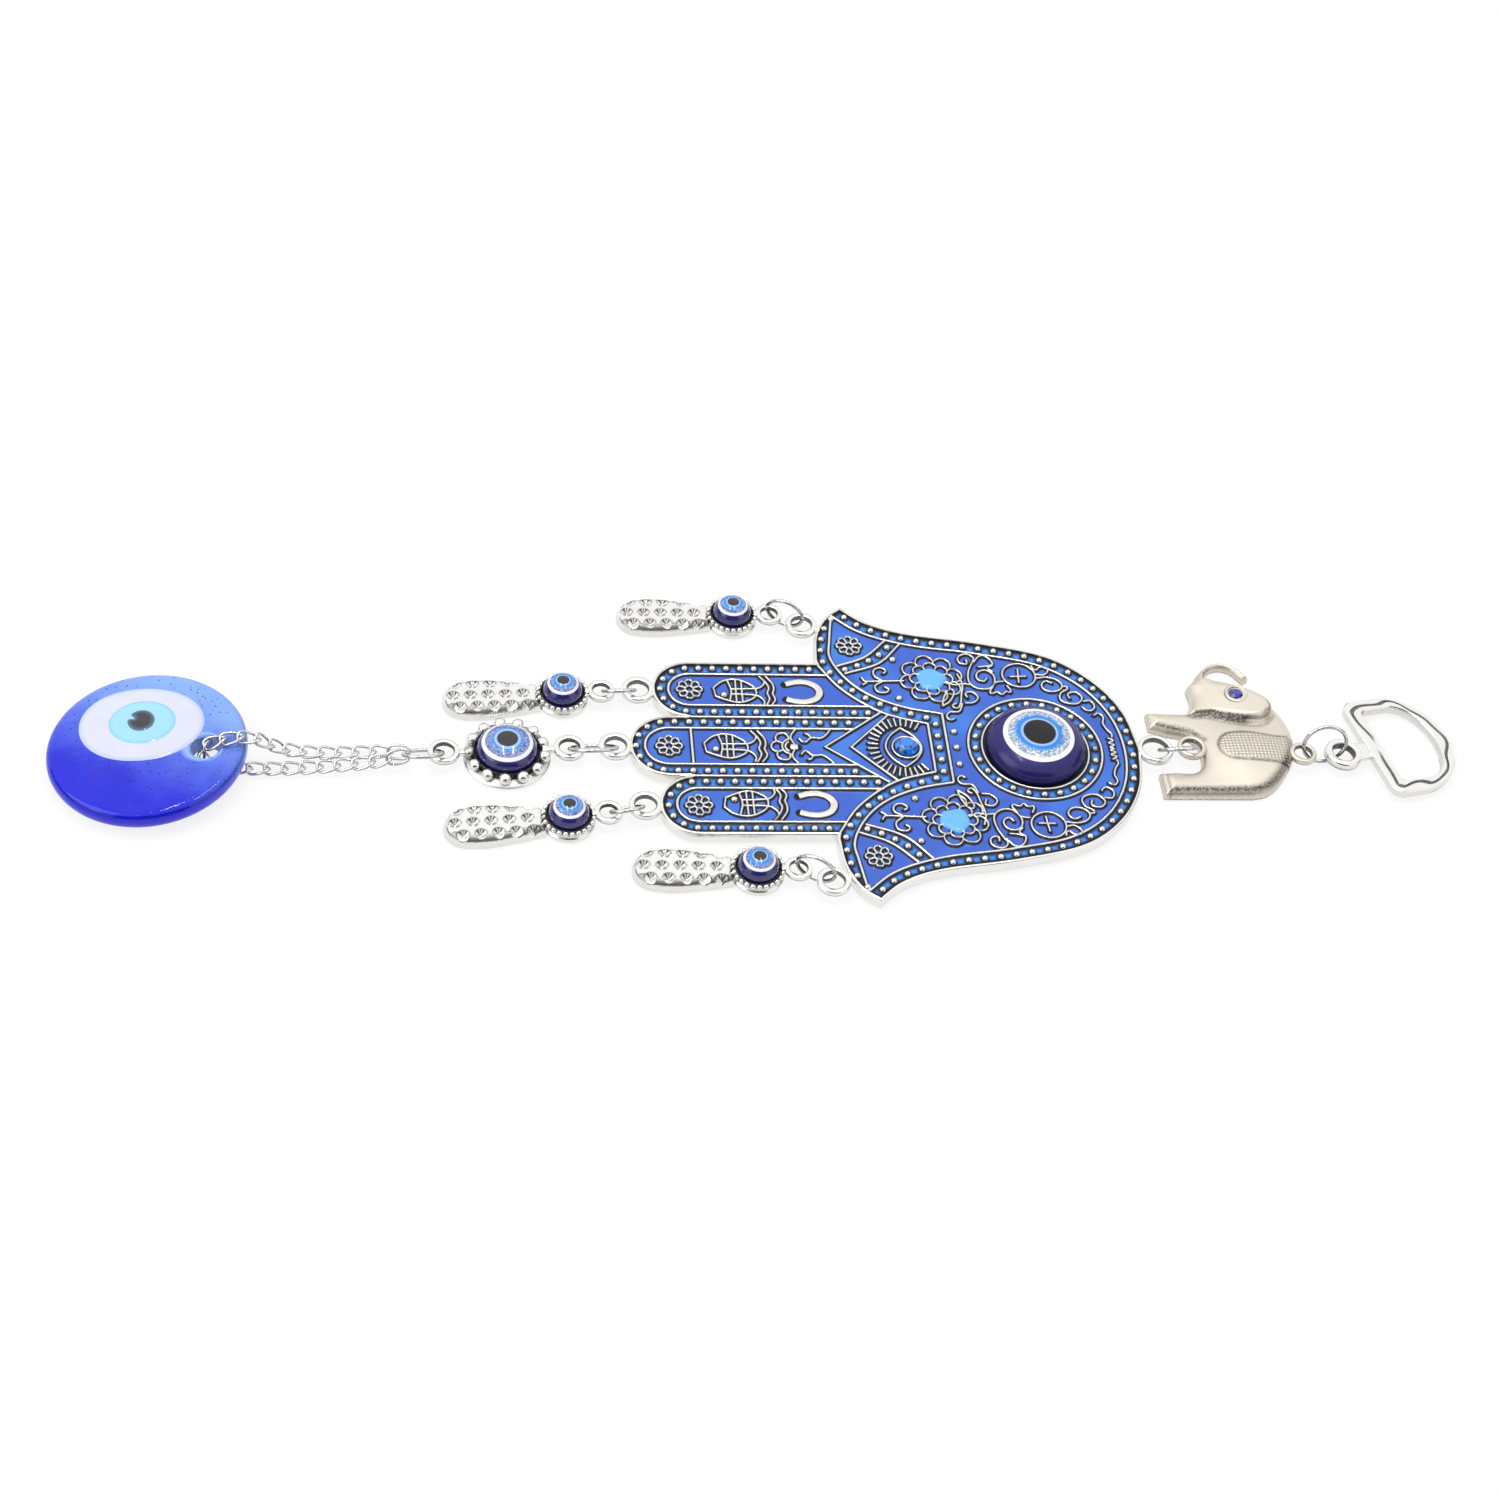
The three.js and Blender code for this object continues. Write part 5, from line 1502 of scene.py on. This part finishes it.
# Sections of a cup from the middle of its back to the middle of its seat
CUP_PROFILE = [(0, 0), (5.1, 0), (5.25, 0.4), (5.15, 0.9), (4.85, 1.2), (4.75, 2.3), (4.45, 2.65), (4.2, 2.4),
               (4.2, 1.6), (0, 1.6)]
CUP_NECK = 4.6
TOOTH_RING = 4.85
TOOTH_Z = 2.3
TOOTH_R = 0.54


class ORNAMENT_OT_dangles(bpy.types.Operator):
    """Makes the four feather dangles with their toothed cups"""

    bl_idname = "ornament.dangles"
    bl_label = "Dangles"

    def execute(self, context):
        teeth = chosen(context, "metal").teeth
        beads = bead_recipe()
        finish = cast_silver(context)
        for name in DANGLES:
            node = name + "_dangle"
            cup = node_middle(name + "_eye") * (1, 1, 0)
            points = node_points(node) * (1, 1, 0)
            tip = points[np.argmax(np.linalg.norm(points - cup, axis=1))]
            along = unit(tip - cup)
            eye = cup - CUP_AT * along
            form = Form("shade")
            for shape, shade in self.shapes():
                form.add(placed(shape, eye, along), shade=shade)
            settle(name + "_feather", form.mesh(), finish, node, [node], sharp=28)
            ring = lay(at_height(ring_of(circle((CUP_AT, 0), TOOTH_RING, 96)), TOOTH_Z), eye, along)
            pitch = 2 * math.pi * TOOTH_RING * MM / (teeth + 0.5)
            facts = {"Pitch": pitch, "Radius": TOOTH_R * MM, "Material": finish}
            mesh = beads.follow(name, [ring], **facts)
            settle(name + "_teeth", mesh, finish, node, sharp=180)
        return {"FINISHED"}

    def shapes(self):
        """The shapes of one dangle with their shade, laid along x from its eye."""
        outline = smooth_line(FEATHER, 0.35)
        spots = np.array([(x + i * pitch, y) for y, x, pitch in DIMPLE_ROWS for i in range(DIMPLES)])
        rims = np.concatenate([circle(spot, DIMPLE_R, 24) for spot in spots] + [spots])
        rims = rims[inside(rims, inset(outline, 0.25))]
        hollow = {}

        def height(flat, depth):
            away = flat[:, None] - spots[None]
            nearest = np.linalg.norm(away, axis=2).argmin(1)
            dx, dy = away[np.arange(len(flat)), nearest].T
            far = np.hypot(dx, dy)
            cone = np.clip(1 - far / DIMPLE_R, 0, 1)
            turn = np.degrees(np.arctan2(dx, -dy))
            # The feather's shade is painted: dark reflected spokes down each dimple's far wall, a dark brink round
            # its far side and shade along the near flank
            spoke = np.exp(-(((np.abs(turn) - 38) / 13) ** 2)) + 0.7 * np.exp(-((turn / 8) ** 2))
            lines = spoke * (cone > 0.02) * rise(far, 0.1, 0.4)
            brink = (np.abs(turn) < 100) * np.exp(-(((far - DIMPLE_R) / 0.14) ** 2))
            flank = (flat[:, 1] > 2) * (cone < 0.02) * rise(depth, 0.2, 0.5) * (1 - rise(depth, 1.3, 1.7))
            hollow["shade"] = np.clip(1.6 * lines + 0.7 * brink + 0.7 * flank, 0, 0.95)
            return FEATHER_EDGE + FEATHER_RISE * bulge(depth, FEATHER_ROUND) - DIMPLE_DEPTH * cone

        feather = relief(outline, 0.2, height, held=rims)
        cup_points, cup_faces = lathe(CUP_PROFILE, 56)
        out, z = np.linalg.norm(cup_points[:, :2], axis=1), cup_points[:, 2]
        # Painted shade inside the cup round the stone and high on its lip between the teeth
        inner = np.where(z < 1, 0, np.where(out < 4.3, 0.9, np.where(z > 2, 0.85, 0)))
        return (
            (feather, with_base(feather, hollow["shade"])),
            ((cup_points + (CUP_AT, 0, 0), cup_faces), inner),
            (cast_eye_at(DANGLE_EYE), eye_shade()),
            (stem(DANGLE_EYE[0], CUP_AT - CUP_NECK, EYE_Z), 0.0),
        )


def cast_eye_at(eye, x=0.0, y=0.0):
    points, faces = cast_eye(*eye)
    return points + (x, y, EYE_Z), faces


# Connector

CONNECTOR_CUP = 12.3
CONNECTOR_EYE = (2.4, 0.45, 0.75)
CONNECTOR_PROFILE = [
    (0, 0), (8.5, 0), (8.7, 0.6), (8.4, 0.95), (6.9, 1.2), (6.7, 2.3), (6.5, 2.5), (6.3, 2.3), (6.3, 1.4),
    (0, 1.4),
]
CONNECTOR_NECK = 7.0
CONNECTOR_NECK_Z = EYE_Z - 0.3
BORDER_BEADS = 13
BORDER_BEAD_R = 1.3
BORDER_R = 7.4
BORDER_Z = 1.9


class ORNAMENT_OT_connector(bpy.types.Operator):
    """Makes the round beaded connector"""

    bl_idname = "ornament.connector"
    bl_label = "Connector"

    def execute(self, context):
        finish = cast_silver(context)
        middle = node_middle("connector_eye") * (1, 1, 0)
        lower = joint_place("chain_ring_swing")[0] * (1, 1, 0)
        along = unit(lower - middle)
        upper = middle - CONNECTOR_CUP * along
        reach = np.linalg.norm(lower - upper)
        form = Form("shade")
        points, faces = lathe(CONNECTOR_PROFILE, 64)
        out = np.linalg.norm(points[:, :2], axis=1)
        # Painted shade, darkest in the gap round the stone and fading out across the flange
        shade = np.interp(out, (6.6, 6.9, 7.5, 8.3, 8.6), (0.95, 0.85, 0.3, 0.15, 0)) * (points[:, 2] > 0)
        form.add(placed((points + (CONNECTOR_CUP, 0, 0), faces), upper, along), shade=shade)
        form.add(placed(cast_eye_at(CONNECTOR_EYE), upper, along), shade=eye_shade())
        form.add(placed(cast_eye_at(CONNECTOR_EYE, reach), upper, along), shade=eye_shade())
        ends = (CONNECTOR_EYE[0], CONNECTOR_CUP - CONNECTOR_NECK)
        form.add(placed(stem(*ends, CONNECTOR_NECK_Z), upper, along))
        ends = (CONNECTOR_CUP + CONNECTOR_NECK, reach - CONNECTOR_EYE[0])
        form.add(placed(stem(*ends, CONNECTOR_NECK_Z), upper, along))
        settle("connector_cup", form.mesh(), finish, "connector", ["connector"])
        ring = lay(at_height(ring_of(circle((0, 0), BORDER_R, 104)), BORDER_Z), middle, along)
        pitch = 2 * math.pi * BORDER_R * MM / (BORDER_BEADS + 0.5)
        facts = {"Pitch": pitch, "Radius": BORDER_BEAD_R * MM, "Material": finish}
        mesh = bead_recipe().follow("connector", [ring], **facts)
        settle("connector_beads", mesh, finish, "connector", sharp=180)
        return {"FINISHED"}


# Rings and chain

RINGS = {"hanger_ring": "elephant_fold", "wrist_ring": "hand_fold", "middle_ring": "connector_fold",
         "chain_ring": "chain_pair_1_fold", **{name + "_ring": name + "_dangle_fold" for name in DANGLES}}
LINK_WIRE = 0.28
LINK_HALF_LENGTH = 2.23
LINK_HALF_WIDTH = 1.38
LINK_TWIST = 40
LINK_FULLNESS = 0.75
RING_GAP = 0.12


class ORNAMENT_OT_rings(bpy.types.Operator):
    """Makes the jump rings"""

    bl_idname = "ornament.rings"
    bl_label = "Jump Rings"

    def execute(self, context):
        finish = bright_wire(context)
        recipe = jump_ring_recipe()
        for node, joint in RINGS.items():
            middle, axis = joint_place(joint)
            away = node_points(node) - middle
            out = np.linalg.norm(away - np.outer(away @ axis, axis), axis=1)
            radius, wire = (out.max() + out.min()) / 2, (out.max() - out.min()) / 2
            facts = {"Radius": radius * MM, "Wire": wire * MM, "Gap": RING_GAP * MM, "Material": finish}
            mesh = recipe.grow(node, [(0, 0, 0)], [], **facts)
            side = unit(np.cross(axis, UP)) if abs(axis[2]) < 0.99 else np.array((1.0, 0, 0))
            seat = Matrix(np.column_stack((side, np.cross(axis, side), axis)).tolist()).to_4x4()
            seat.translation = Vector(middle * MM)
            mesh.transform(seat)
            settle(node + "_wire", mesh, finish, node, [node], sharp=60)
        return {"FINISHED"}


def link_frame(node):
    """A link's middle and its turn, from its own length and width."""
    points = node_points(node)
    middle = points.mean(0)
    axes = np.linalg.svd(points - middle, full_matrices=False)[2]
    along, side = axes[0], axes[1]
    turn = Matrix(np.column_stack((along, side, np.cross(along, side))).tolist())
    return middle, turn.to_euler()


class ORNAMENT_OT_chain(bpy.types.Operator):
    """Makes the doubled curb chain"""

    bl_idname = "ornament.chain"
    bl_label = "Chain"

    def execute(self, context):
        finish = bright_wire(context)
        recipe = link_recipe()
        bodies = frame["record"]["behaviour"]["bodies"]
        for body, nodes in bodies.items():
            links = [node for node in nodes if node.startswith("chain_link_")]
            if not links:
                continue
            middles, turns = zip(*(link_frame(node) for node in links))
            twist = 0.0 if body == "chain_pair_1" else math.radians(LINK_TWIST)
            facts = {
                "Length": LINK_HALF_LENGTH * MM, "Width": LINK_HALF_WIDTH * MM, "Wire": LINK_WIRE * MM,
                "Twist": twist, "Fullness": LINK_FULLNESS, "Material": finish,
            }
            mesh = recipe.grow(body, middles, [], turns, **facts)
            settle(body + "_links", mesh, finish, body, links, sharp=80)
        return {"FINISHED"}


# Glass eye

DISC_R = 19.2
DISC_T = 4.0
DISC_EDGE = 1.6
HOLE_R = 2.8
HOLE_BEVEL = 0.35
# Laid glass: its colour, middle, half width, half height and how high it stands
LAID = (
    ("white", (-1.2, 4.9), 12.0, 9.6, 0.35),
    ("cyan", (-1.1, 5.2), 6.5, 5.7, 0.55),
    ("pupil", (-1.3, 5.5), 2.75, 2.9, 0.72),
)


class ORNAMENT_OT_glass_eye(bpy.types.Operator):
    """Makes the poured glass disc with its laid eye"""

    bl_idname = "ornament.glass_eye"
    bl_label = "Glass Eye"

    def execute(self, context):
        glass = chosen(context, "glass")
        middle = node_middle("glass_eye")
        axis = joint_place("glass_eye_swing")[1]
        points = node_points("glass_eye") - middle
        far = np.linalg.norm(points, axis=1)
        hole = points[(far > 0.3 * DISC_R) & (far < 0.8 * DISC_R)].mean(0)
        hole_at = np.linalg.norm(hole)
        base = middle - DISC_T / 2 * axis
        form = Form("thin")
        points, faces = self.disc(hole_at)
        # How pale the glass is painted, by the mark thin: paler across towards one side and near the hole
        across = -(points @ unit((-0.35, -0.94, 0))) / DISC_R
        brink = 1 - rise(np.linalg.norm(points[:, :2] - (hole_at, 0), axis=1), HOLE_R + 0.3, HOLE_R + 1.6)
        thin = np.maximum(0.5 + 0.5 * np.clip(across, -1, 1), 1.3 * brink)
        form.add(placed((points, faces), base, hole, axis), thin=thin)
        finish = cobalt_finish(glass)
        settle("glass_eye_disc", form.mesh(), finish, "glass_eye", ["glass_eye"])
        for drop in LAID:
            self.lay_drop(glass, *drop, base, axis)
        return {"FINISHED"}

    def disc(self, hole_at):
        """Loops round the hole, over the top, round the rim and back below."""
        turn = np.linspace(0, 2 * np.pi, 144, endpoint=False)
        ring = np.column_stack((np.cos(turn), np.sin(turn)))
        flat, brim = DISC_R - DISC_EDGE, HOLE_R + HOLE_BEVEL
        spread = np.linspace(0, 1, 16)

        def net(share, z):
            middle = np.array((hole_at * (1 - share), 0))
            return at_height(middle + ring * (brim + (flat - brim) * share), z)

        loops = [net(share, 0) for share in spread[::-1]]
        hole = np.array((hole_at, 0))
        loops += [at_height(hole + ring * HOLE_R, z) for z in np.linspace(HOLE_BEVEL, DISC_T - HOLE_BEVEL, 4)]
        loops += [net(share, DISC_T) for share in spread]
        for angle in np.radians(np.linspace(90, -90, 15)):
            z = DISC_T / 2 + (DISC_T / 2) * math.sin(angle)
            loops.append(at_height(ring * (flat + DISC_EDGE * math.cos(angle)), z))
        return bridged(loops, closed=True)

    def lay_drop(self, glass, name, middle, wide, high, top, base, axis):
        """One drop of the laid eye: the white's one end is blunt, the pupil has a notch."""
        turn = np.linspace(0, 2 * np.pi, 96, endpoint=False)
        x, y = np.cos(turn), np.sin(turn)
        if name == "white":
            x = np.where(x < 0, -np.abs(x) ** 0.88, x)
        if name == "pupil":
            notch = 0.42 * np.exp(-(((turn - 2.75) / 0.13) ** 2))
            x, y = x * (1 - notch), y * (1 - notch)
        outline = np.stack((middle[0] + wide * x, middle[1] + high * y), 1)
        marks = {}

        def height(flat, depth):
            marks["edge"] = 1 - rise(depth, 0, 1.1)
            return DISC_T + top - 0.33 + 0.22 * bulge(depth, 1.2)

        shape = relief(outline, 0.45, height, DISC_T - 0.25)
        finish = laid_glass_finish("laid_" + name, getattr(glass, name), glass.pale)
        form = Form("edge")
        edge = with_base(shape, marks["edge"], 1.0)
        form.add(placed(shape, base, (1.0, 0.0, 0.0), axis), edge=edge)
        settle("glass_eye_" + name, form.mesh(), finish, "glass_eye")


# Elephant, measured from its belly eye

BELLY_EYE = (2.4, 0.48, 0.2)
BACK_EYE = (2.2, 0.45, 0.4)
BACK_EYE_AT = (23.2, -1.4)
EAR = [
    (1.3, 8.9), (4.8, 8.4), (9, 7.1), (13, 6.2), (16.4, 6.5), (18.6, 8.4), (19.2, 11), (18.4, 13.4),
    (16, 15.5), (11.5, 17.5), (7.5, 19.5), (2.6, 18.5), (1.8, 14),
]
SADDLE = [
    (23.5, 2.2), (18, 3.0), (10.5, 4.0), (7.4, 3.3), (5.8, 1.4), (5.6, -0.8), (7.2, -3.0), (9.6, -3.7),
    (17, -4.3), (23.5, -4.6),
]
# How the cast body rounds over from its edge: height of the edge, rise and reach
CAST_EDGE = 0.9
CAST_RISE = 1.5
CAST_ROUND = 2.8
# Pitch of the saddle's weave
WEAVE = 1.5
# Section of the brow stone's setting, from its brim
BROW_SETTING = (
    (1.75, -0.8), (1.75, -0.2), (1.95, 0), (2.35, -0.05), (2.55, -0.4), (2.7, -2), (0.4, -2), (0.4, -0.8),
)
# Where the cuffs of the far and the near foot end
CUFFS = (-10.8, -6.4)


class ORNAMENT_OT_elephant(bpy.types.Operator):
    """Makes the cast elephant"""

    bl_idname = "ornament.elephant"
    bl_label = "Elephant"

    def execute(self, context):
        metal = chosen(context, "metal")
        belly = joint_place("wrist_ring_swing")[0] * (1, 1, 0)
        outline = base_outline("elephant", 0.35) - belly[:2]
        marks = {}

        def height(flat, depth):
            x, y = flat[:, 0], flat[:, 1]
            body = np.exp(-((((x - 12) / 8.5) ** 2 + ((y + 1.5) / 8) ** 2) ** 1.3))
            cast = CAST_EDGE + CAST_RISE * bulge(depth, CAST_ROUND)
            top = cast + 0.9 * body
            ear = smooth_line(EAR, 0.4, closed=True)
            within = inside(flat, ear)
            gap = gap_to(flat, [ring_of(ear)])
            wall = np.where(y < 9.5, 1.5, 0.7)
            lobe = np.where(within, np.clip(gap / wall, 0, 1), 0)
            crown = cast + 0.9 + 1.3 * rise(x, 0, 15) - 0.3 * (1 - rise(gap, wall, wall + 0.5))
            top = np.where(within, top * (1 - lobe) + np.maximum(top, crown) * lobe, top)
            crease = np.where(within, np.exp(-(((gap - 1.0) / 0.25) ** 2)), 0) * rise(x, 11, 15)
            saddle = smooth_line(SADDLE, 0.4, closed=True)
            on_saddle = inside(flat, saddle)
            hem = gap_to(flat, [ring_of(saddle)])
            top += np.where(on_saddle, 0.28 * rise(hem, 0, 0.4), 0) - 0.2 * crease
            # Painted shade on the ear's lower wall and in a thin line just below it
            fold = (gap < wall) * (1 - rise(x, 12, 14.5))
            under = np.where(within, fold, 0.7 * np.exp(-((gap / 0.5) ** 2)))
            under *= rise(x, -3, 3) * (y < 9.5)
            deeper = gap_to(flat + (0, 0.4), [ring_of(outline)])
            near = np.clip((deeper - depth) / 0.3, 0, 1) * ~within
            band = near * np.exp(-(((depth - 1.15) / 0.8) ** 2))
            line = np.exp(-((hem / 0.28) ** 2)) * (x < 21)
            cuff = np.exp(-(((x - np.where(y > -4, *CUFFS)) / 0.25) ** 2))
            top -= 0.18 * cuff
            # The shade mark is painted: shade under the ear, a dark reflection along the near flanks, and shade
            # along the saddle's hem, in the ear's crease and at the cuffs
            dark = 0.85 * under + 0.9 * band + 0.8 * line + 0.7 * crease + 0.5 * cuff
            marks["shade"] = np.clip(dark, 0, 0.95)
            marks["weave"] = np.where(on_saddle, rise(hem, 0.2, 0.5), 0)
            return top

        shape = relief(outline, 0.26, height)
        form = Form("shade", "weave")
        form.add(placed(shape, belly), **{mark: with_base(shape, values) for mark, values in marks.items()})
        form.add(placed(cast_eye_at(BELLY_EYE), belly), shade=eye_shade())
        form.add(placed(cast_eye_at(BACK_EYE, *BACK_EYE_AT), belly), shade=eye_shade())
        stone = node_middle("elephant_stone")
        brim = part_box("elephant_stone")[1][2] / MM - 0.35
        section = [(r, brim + z) for r, z in BROW_SETTING]
        setting = turned_ring(section[::-1], 40)
        out = np.linalg.norm(setting[0][:, :2], axis=1)
        # Painted shade at the setting's inner and outer edges
        shade = np.where((out < 1.9) | (out > 2.5), 0.85, 0)
        form.add(placed(setting, stone * (1, 1, 0)), shade=shade)
        finish = self.finish(metal)
        settle("elephant_cast", form.mesh(), finish, "elephant", ["elephant"], sharp=60)
        return {"FINISHED"}

    def finish(self, metal):
        """Champagne silver with painted shade and painted dark reflections where the mark "shade" is high, low
        down and on its sides, and a woven saddle that is darker where its weave dips.
        """
        finish = Finish("champagne_casting", metallic=1.0)
        shade, weave = finish.mark("shade"), finish.mark("weave")
        cloud = finish.noise(2.5, 4.0)
        grain = finish.noise(0.4, 2.0)
        bright = finish.blend(cloud, dim(metal.warm, 0.92), metal.warm)
        upright_shade = 1 - finish.ease(finish.upward(), 0.0, 0.6)
        rough = finish.ease(finish.noise(0.45, 4.0, 0.7), 0.3, 0.6)
        # Painted shade low down, where the casting meets the table
        foot = (1 - finish.ease(finish.height(), 0.15, 0.5)) * 0.55
        dark = (shade * (0.45 + rough * 0.6) + foot * rough + upright_shade * 0.12 * rough).least(1.0)
        x = finish.add("ShaderNodeSeparateXYZ", None, {0: finish.place}, "X")
        y = finish.add("ShaderNodeSeparateXYZ", None, {0: finish.place}, "Y")
        pitch = 2 * math.pi / (WEAVE * MM)
        waves = [((x + y * slope) * pitch).apply("SINE") for slope in (1.0, -1.0)]
        knit = (waves[0] * waves[1] * 0.5 + 0.5) * weave
        tone = finish.blend((dark + (weave - knit) * 0.45).least(1.0), bright, metal.painted_shade)
        finish.set("Base Color", tone)
        finish.set("Roughness", 0.38 + cloud * 0.08 + shade * 0.1)
        finish.bump(knit + grain * 0.12, 0.1)
        return finish.material


# Hanger, measured from its eye

HANGER_BAR = 5.7
HANGER_END = 24.6
HANGER_HALF = 13.0
HANGER_BAND = 3.2
HANGER_STRAIGHT = 6.5
HANGER_CORNER = 2.6
HANGER_T = 2.2
HANGER_EYE = (2.9, 0.7, 0.45)
HANGER_NECK = (4.4, 1.4)
GROOVE_DEPTH = 0.4


class ORNAMENT_OT_hanger(bpy.types.Operator):
    """Makes the grooved loop that the ornament hangs by"""

    bl_idname = "ornament.hanger"
    bl_label = "Hanger"

    def execute(self, context):
        eye, up = joint_place("hanger_ring_swing")
        along = node_points("hanger").mean(0) - eye
        outer = self.bow(0, HANGER_CORNER)
        inner = self.bow(HANGER_BAND, HANGER_CORNER / 2)
        half = HANGER_T / 2
        walk = np.linspace(0, 2 * np.pi, len(outer), endpoint=False)
        wander = 0.5 + 0.13 * np.sin(5 * walk + 0.6) + 0.08 * np.sin(9 * walk)
        flat_neck = np.exp(-((outer[:, 1] / 2.2) ** 2)) * (outer[:, 0] < HANGER_BAR + 1)
        depth = GROOVE_DEPTH * (1 - flat_neck)
        loops, shade = [], []
        # Points of the section: how far from the outer line to the inner one, height and shade, or for the
        # groove its offset from the wandering line and its shade
        section = (
            (0, -0.7 * half, 0), (0.1, -half, 0), (0.9, -half, 0), (1, -0.7 * half, 0), (1, 0.7 * half, 0.15),
            (0.9, half, 0), ("groove", 0.12, 0), ("groove", 0.075, 0.8), ("groove", -0.075, 0.8),
            ("groove", -0.12, 0), (0.1, half, 0), (0, 0.7 * half, 0),
        )
        for share, z, dark in section:
            if share == "groove":
                where, top = wander + z, half - depth * dark
                mark = dark * (1 - flat_neck)
            else:
                where, top = np.full(len(outer), share), np.full(len(outer), z)
                mark = np.full(len(outer), dark, float)
            flat = outer * (1 - where)[:, None] + inner * where[:, None]
            loops.append(np.column_stack((flat, top)))
            shade.append(mark)
        points, faces = bridged(loops, closed=True)
        form = Form("shade")
        faces = [face[::-1] for face in faces]
        form.add(placed((points, faces), eye, along, up), shade=np.concatenate(shade))
        form.add(placed(cast_eye(*HANGER_EYE), eye, along, up), shade=eye_shade())
        form.add(placed(stem(HANGER_EYE[0], HANGER_BAR + 1.2, 0, *HANGER_NECK), eye, along, up))
        settle("hanger_bow", form.mesh(), cast_silver(context), "hanger", ["hanger"])
        return {"FINISHED"}

    def bow(self, moved, corner):
        """The hanger's rounded D, moved inwards, with the same count of points whatever its size."""
        bar, end, half = HANGER_BAR + moved, HANGER_END - moved, HANGER_HALF - moved
        straight = bar + HANGER_STRAIGHT
        side = np.column_stack((np.linspace(bar + corner, straight, 8, endpoint=False), np.full(8, -half)))
        turn = np.radians(np.linspace(-90, 90, 60))
        round_end = np.column_stack((straight + (end - straight) * np.cos(turn), half * np.sin(turn)))
        back = np.column_stack((np.linspace(straight, bar + corner, 8, endpoint=False), np.full(8, half)))[1:]
        first = arc((bar + corner, half - corner), corner, 90, 90, 8)
        across = np.linspace(half - corner, corner - half, 24)[1:-1]
        bar_line = np.column_stack((np.full(len(across), bar), across))
        last = arc((bar + corner, corner - half), corner, 180, 90, 8)[:-1]
        return np.concatenate((side, round_end, back, first, bar_line, last))


STEPS = (
    ORNAMENT_OT_stage, ORNAMENT_OT_hand, ORNAMENT_OT_eyes, ORNAMENT_OT_dangles, ORNAMENT_OT_connector,
    ORNAMENT_OT_rings, ORNAMENT_OT_chain, ORNAMENT_OT_glass_eye, ORNAMENT_OT_elephant, ORNAMENT_OT_hanger,
)


class ORNAMENT_PT_panel(bpy.types.Panel):
    bl_label = "Evil Eye Ornament"
    bl_idname = "ORNAMENT_PT_panel"
    bl_space_type = "VIEW_3D"
    bl_region_type = "UI"
    bl_category = "Ornament"

    def draw(self, context):
        for step in STEPS:
            self.layout.operator(step.bl_idname)
        for group, kind in GROUPS.items():
            box = self.layout.box()
            box.label(text=group.title())
            for prop in kind.__annotations__:
                box.prop(chosen(context, group), prop)


def register():
    for kind in (*GROUPS.values(), *STEPS, ORNAMENT_PT_panel):
        bpy.utils.register_class(kind)
    for group, kind in GROUPS.items():
        setattr(bpy.types.Scene, "ornament_" + group, PointerProperty(type=kind))


def unregister():
    for group in GROUPS:
        delattr(bpy.types.Scene, "ornament_" + group)
    for kind in reversed((*GROUPS.values(), *STEPS, ORNAMENT_PT_panel)):
        bpy.utils.unregister_class(kind)


def main():
    register()
    for step in STEPS:
        family, name = step.bl_idname.split(".")
        getattr(getattr(bpy.ops, family), name)()


if __name__ == "__main__":
    main()
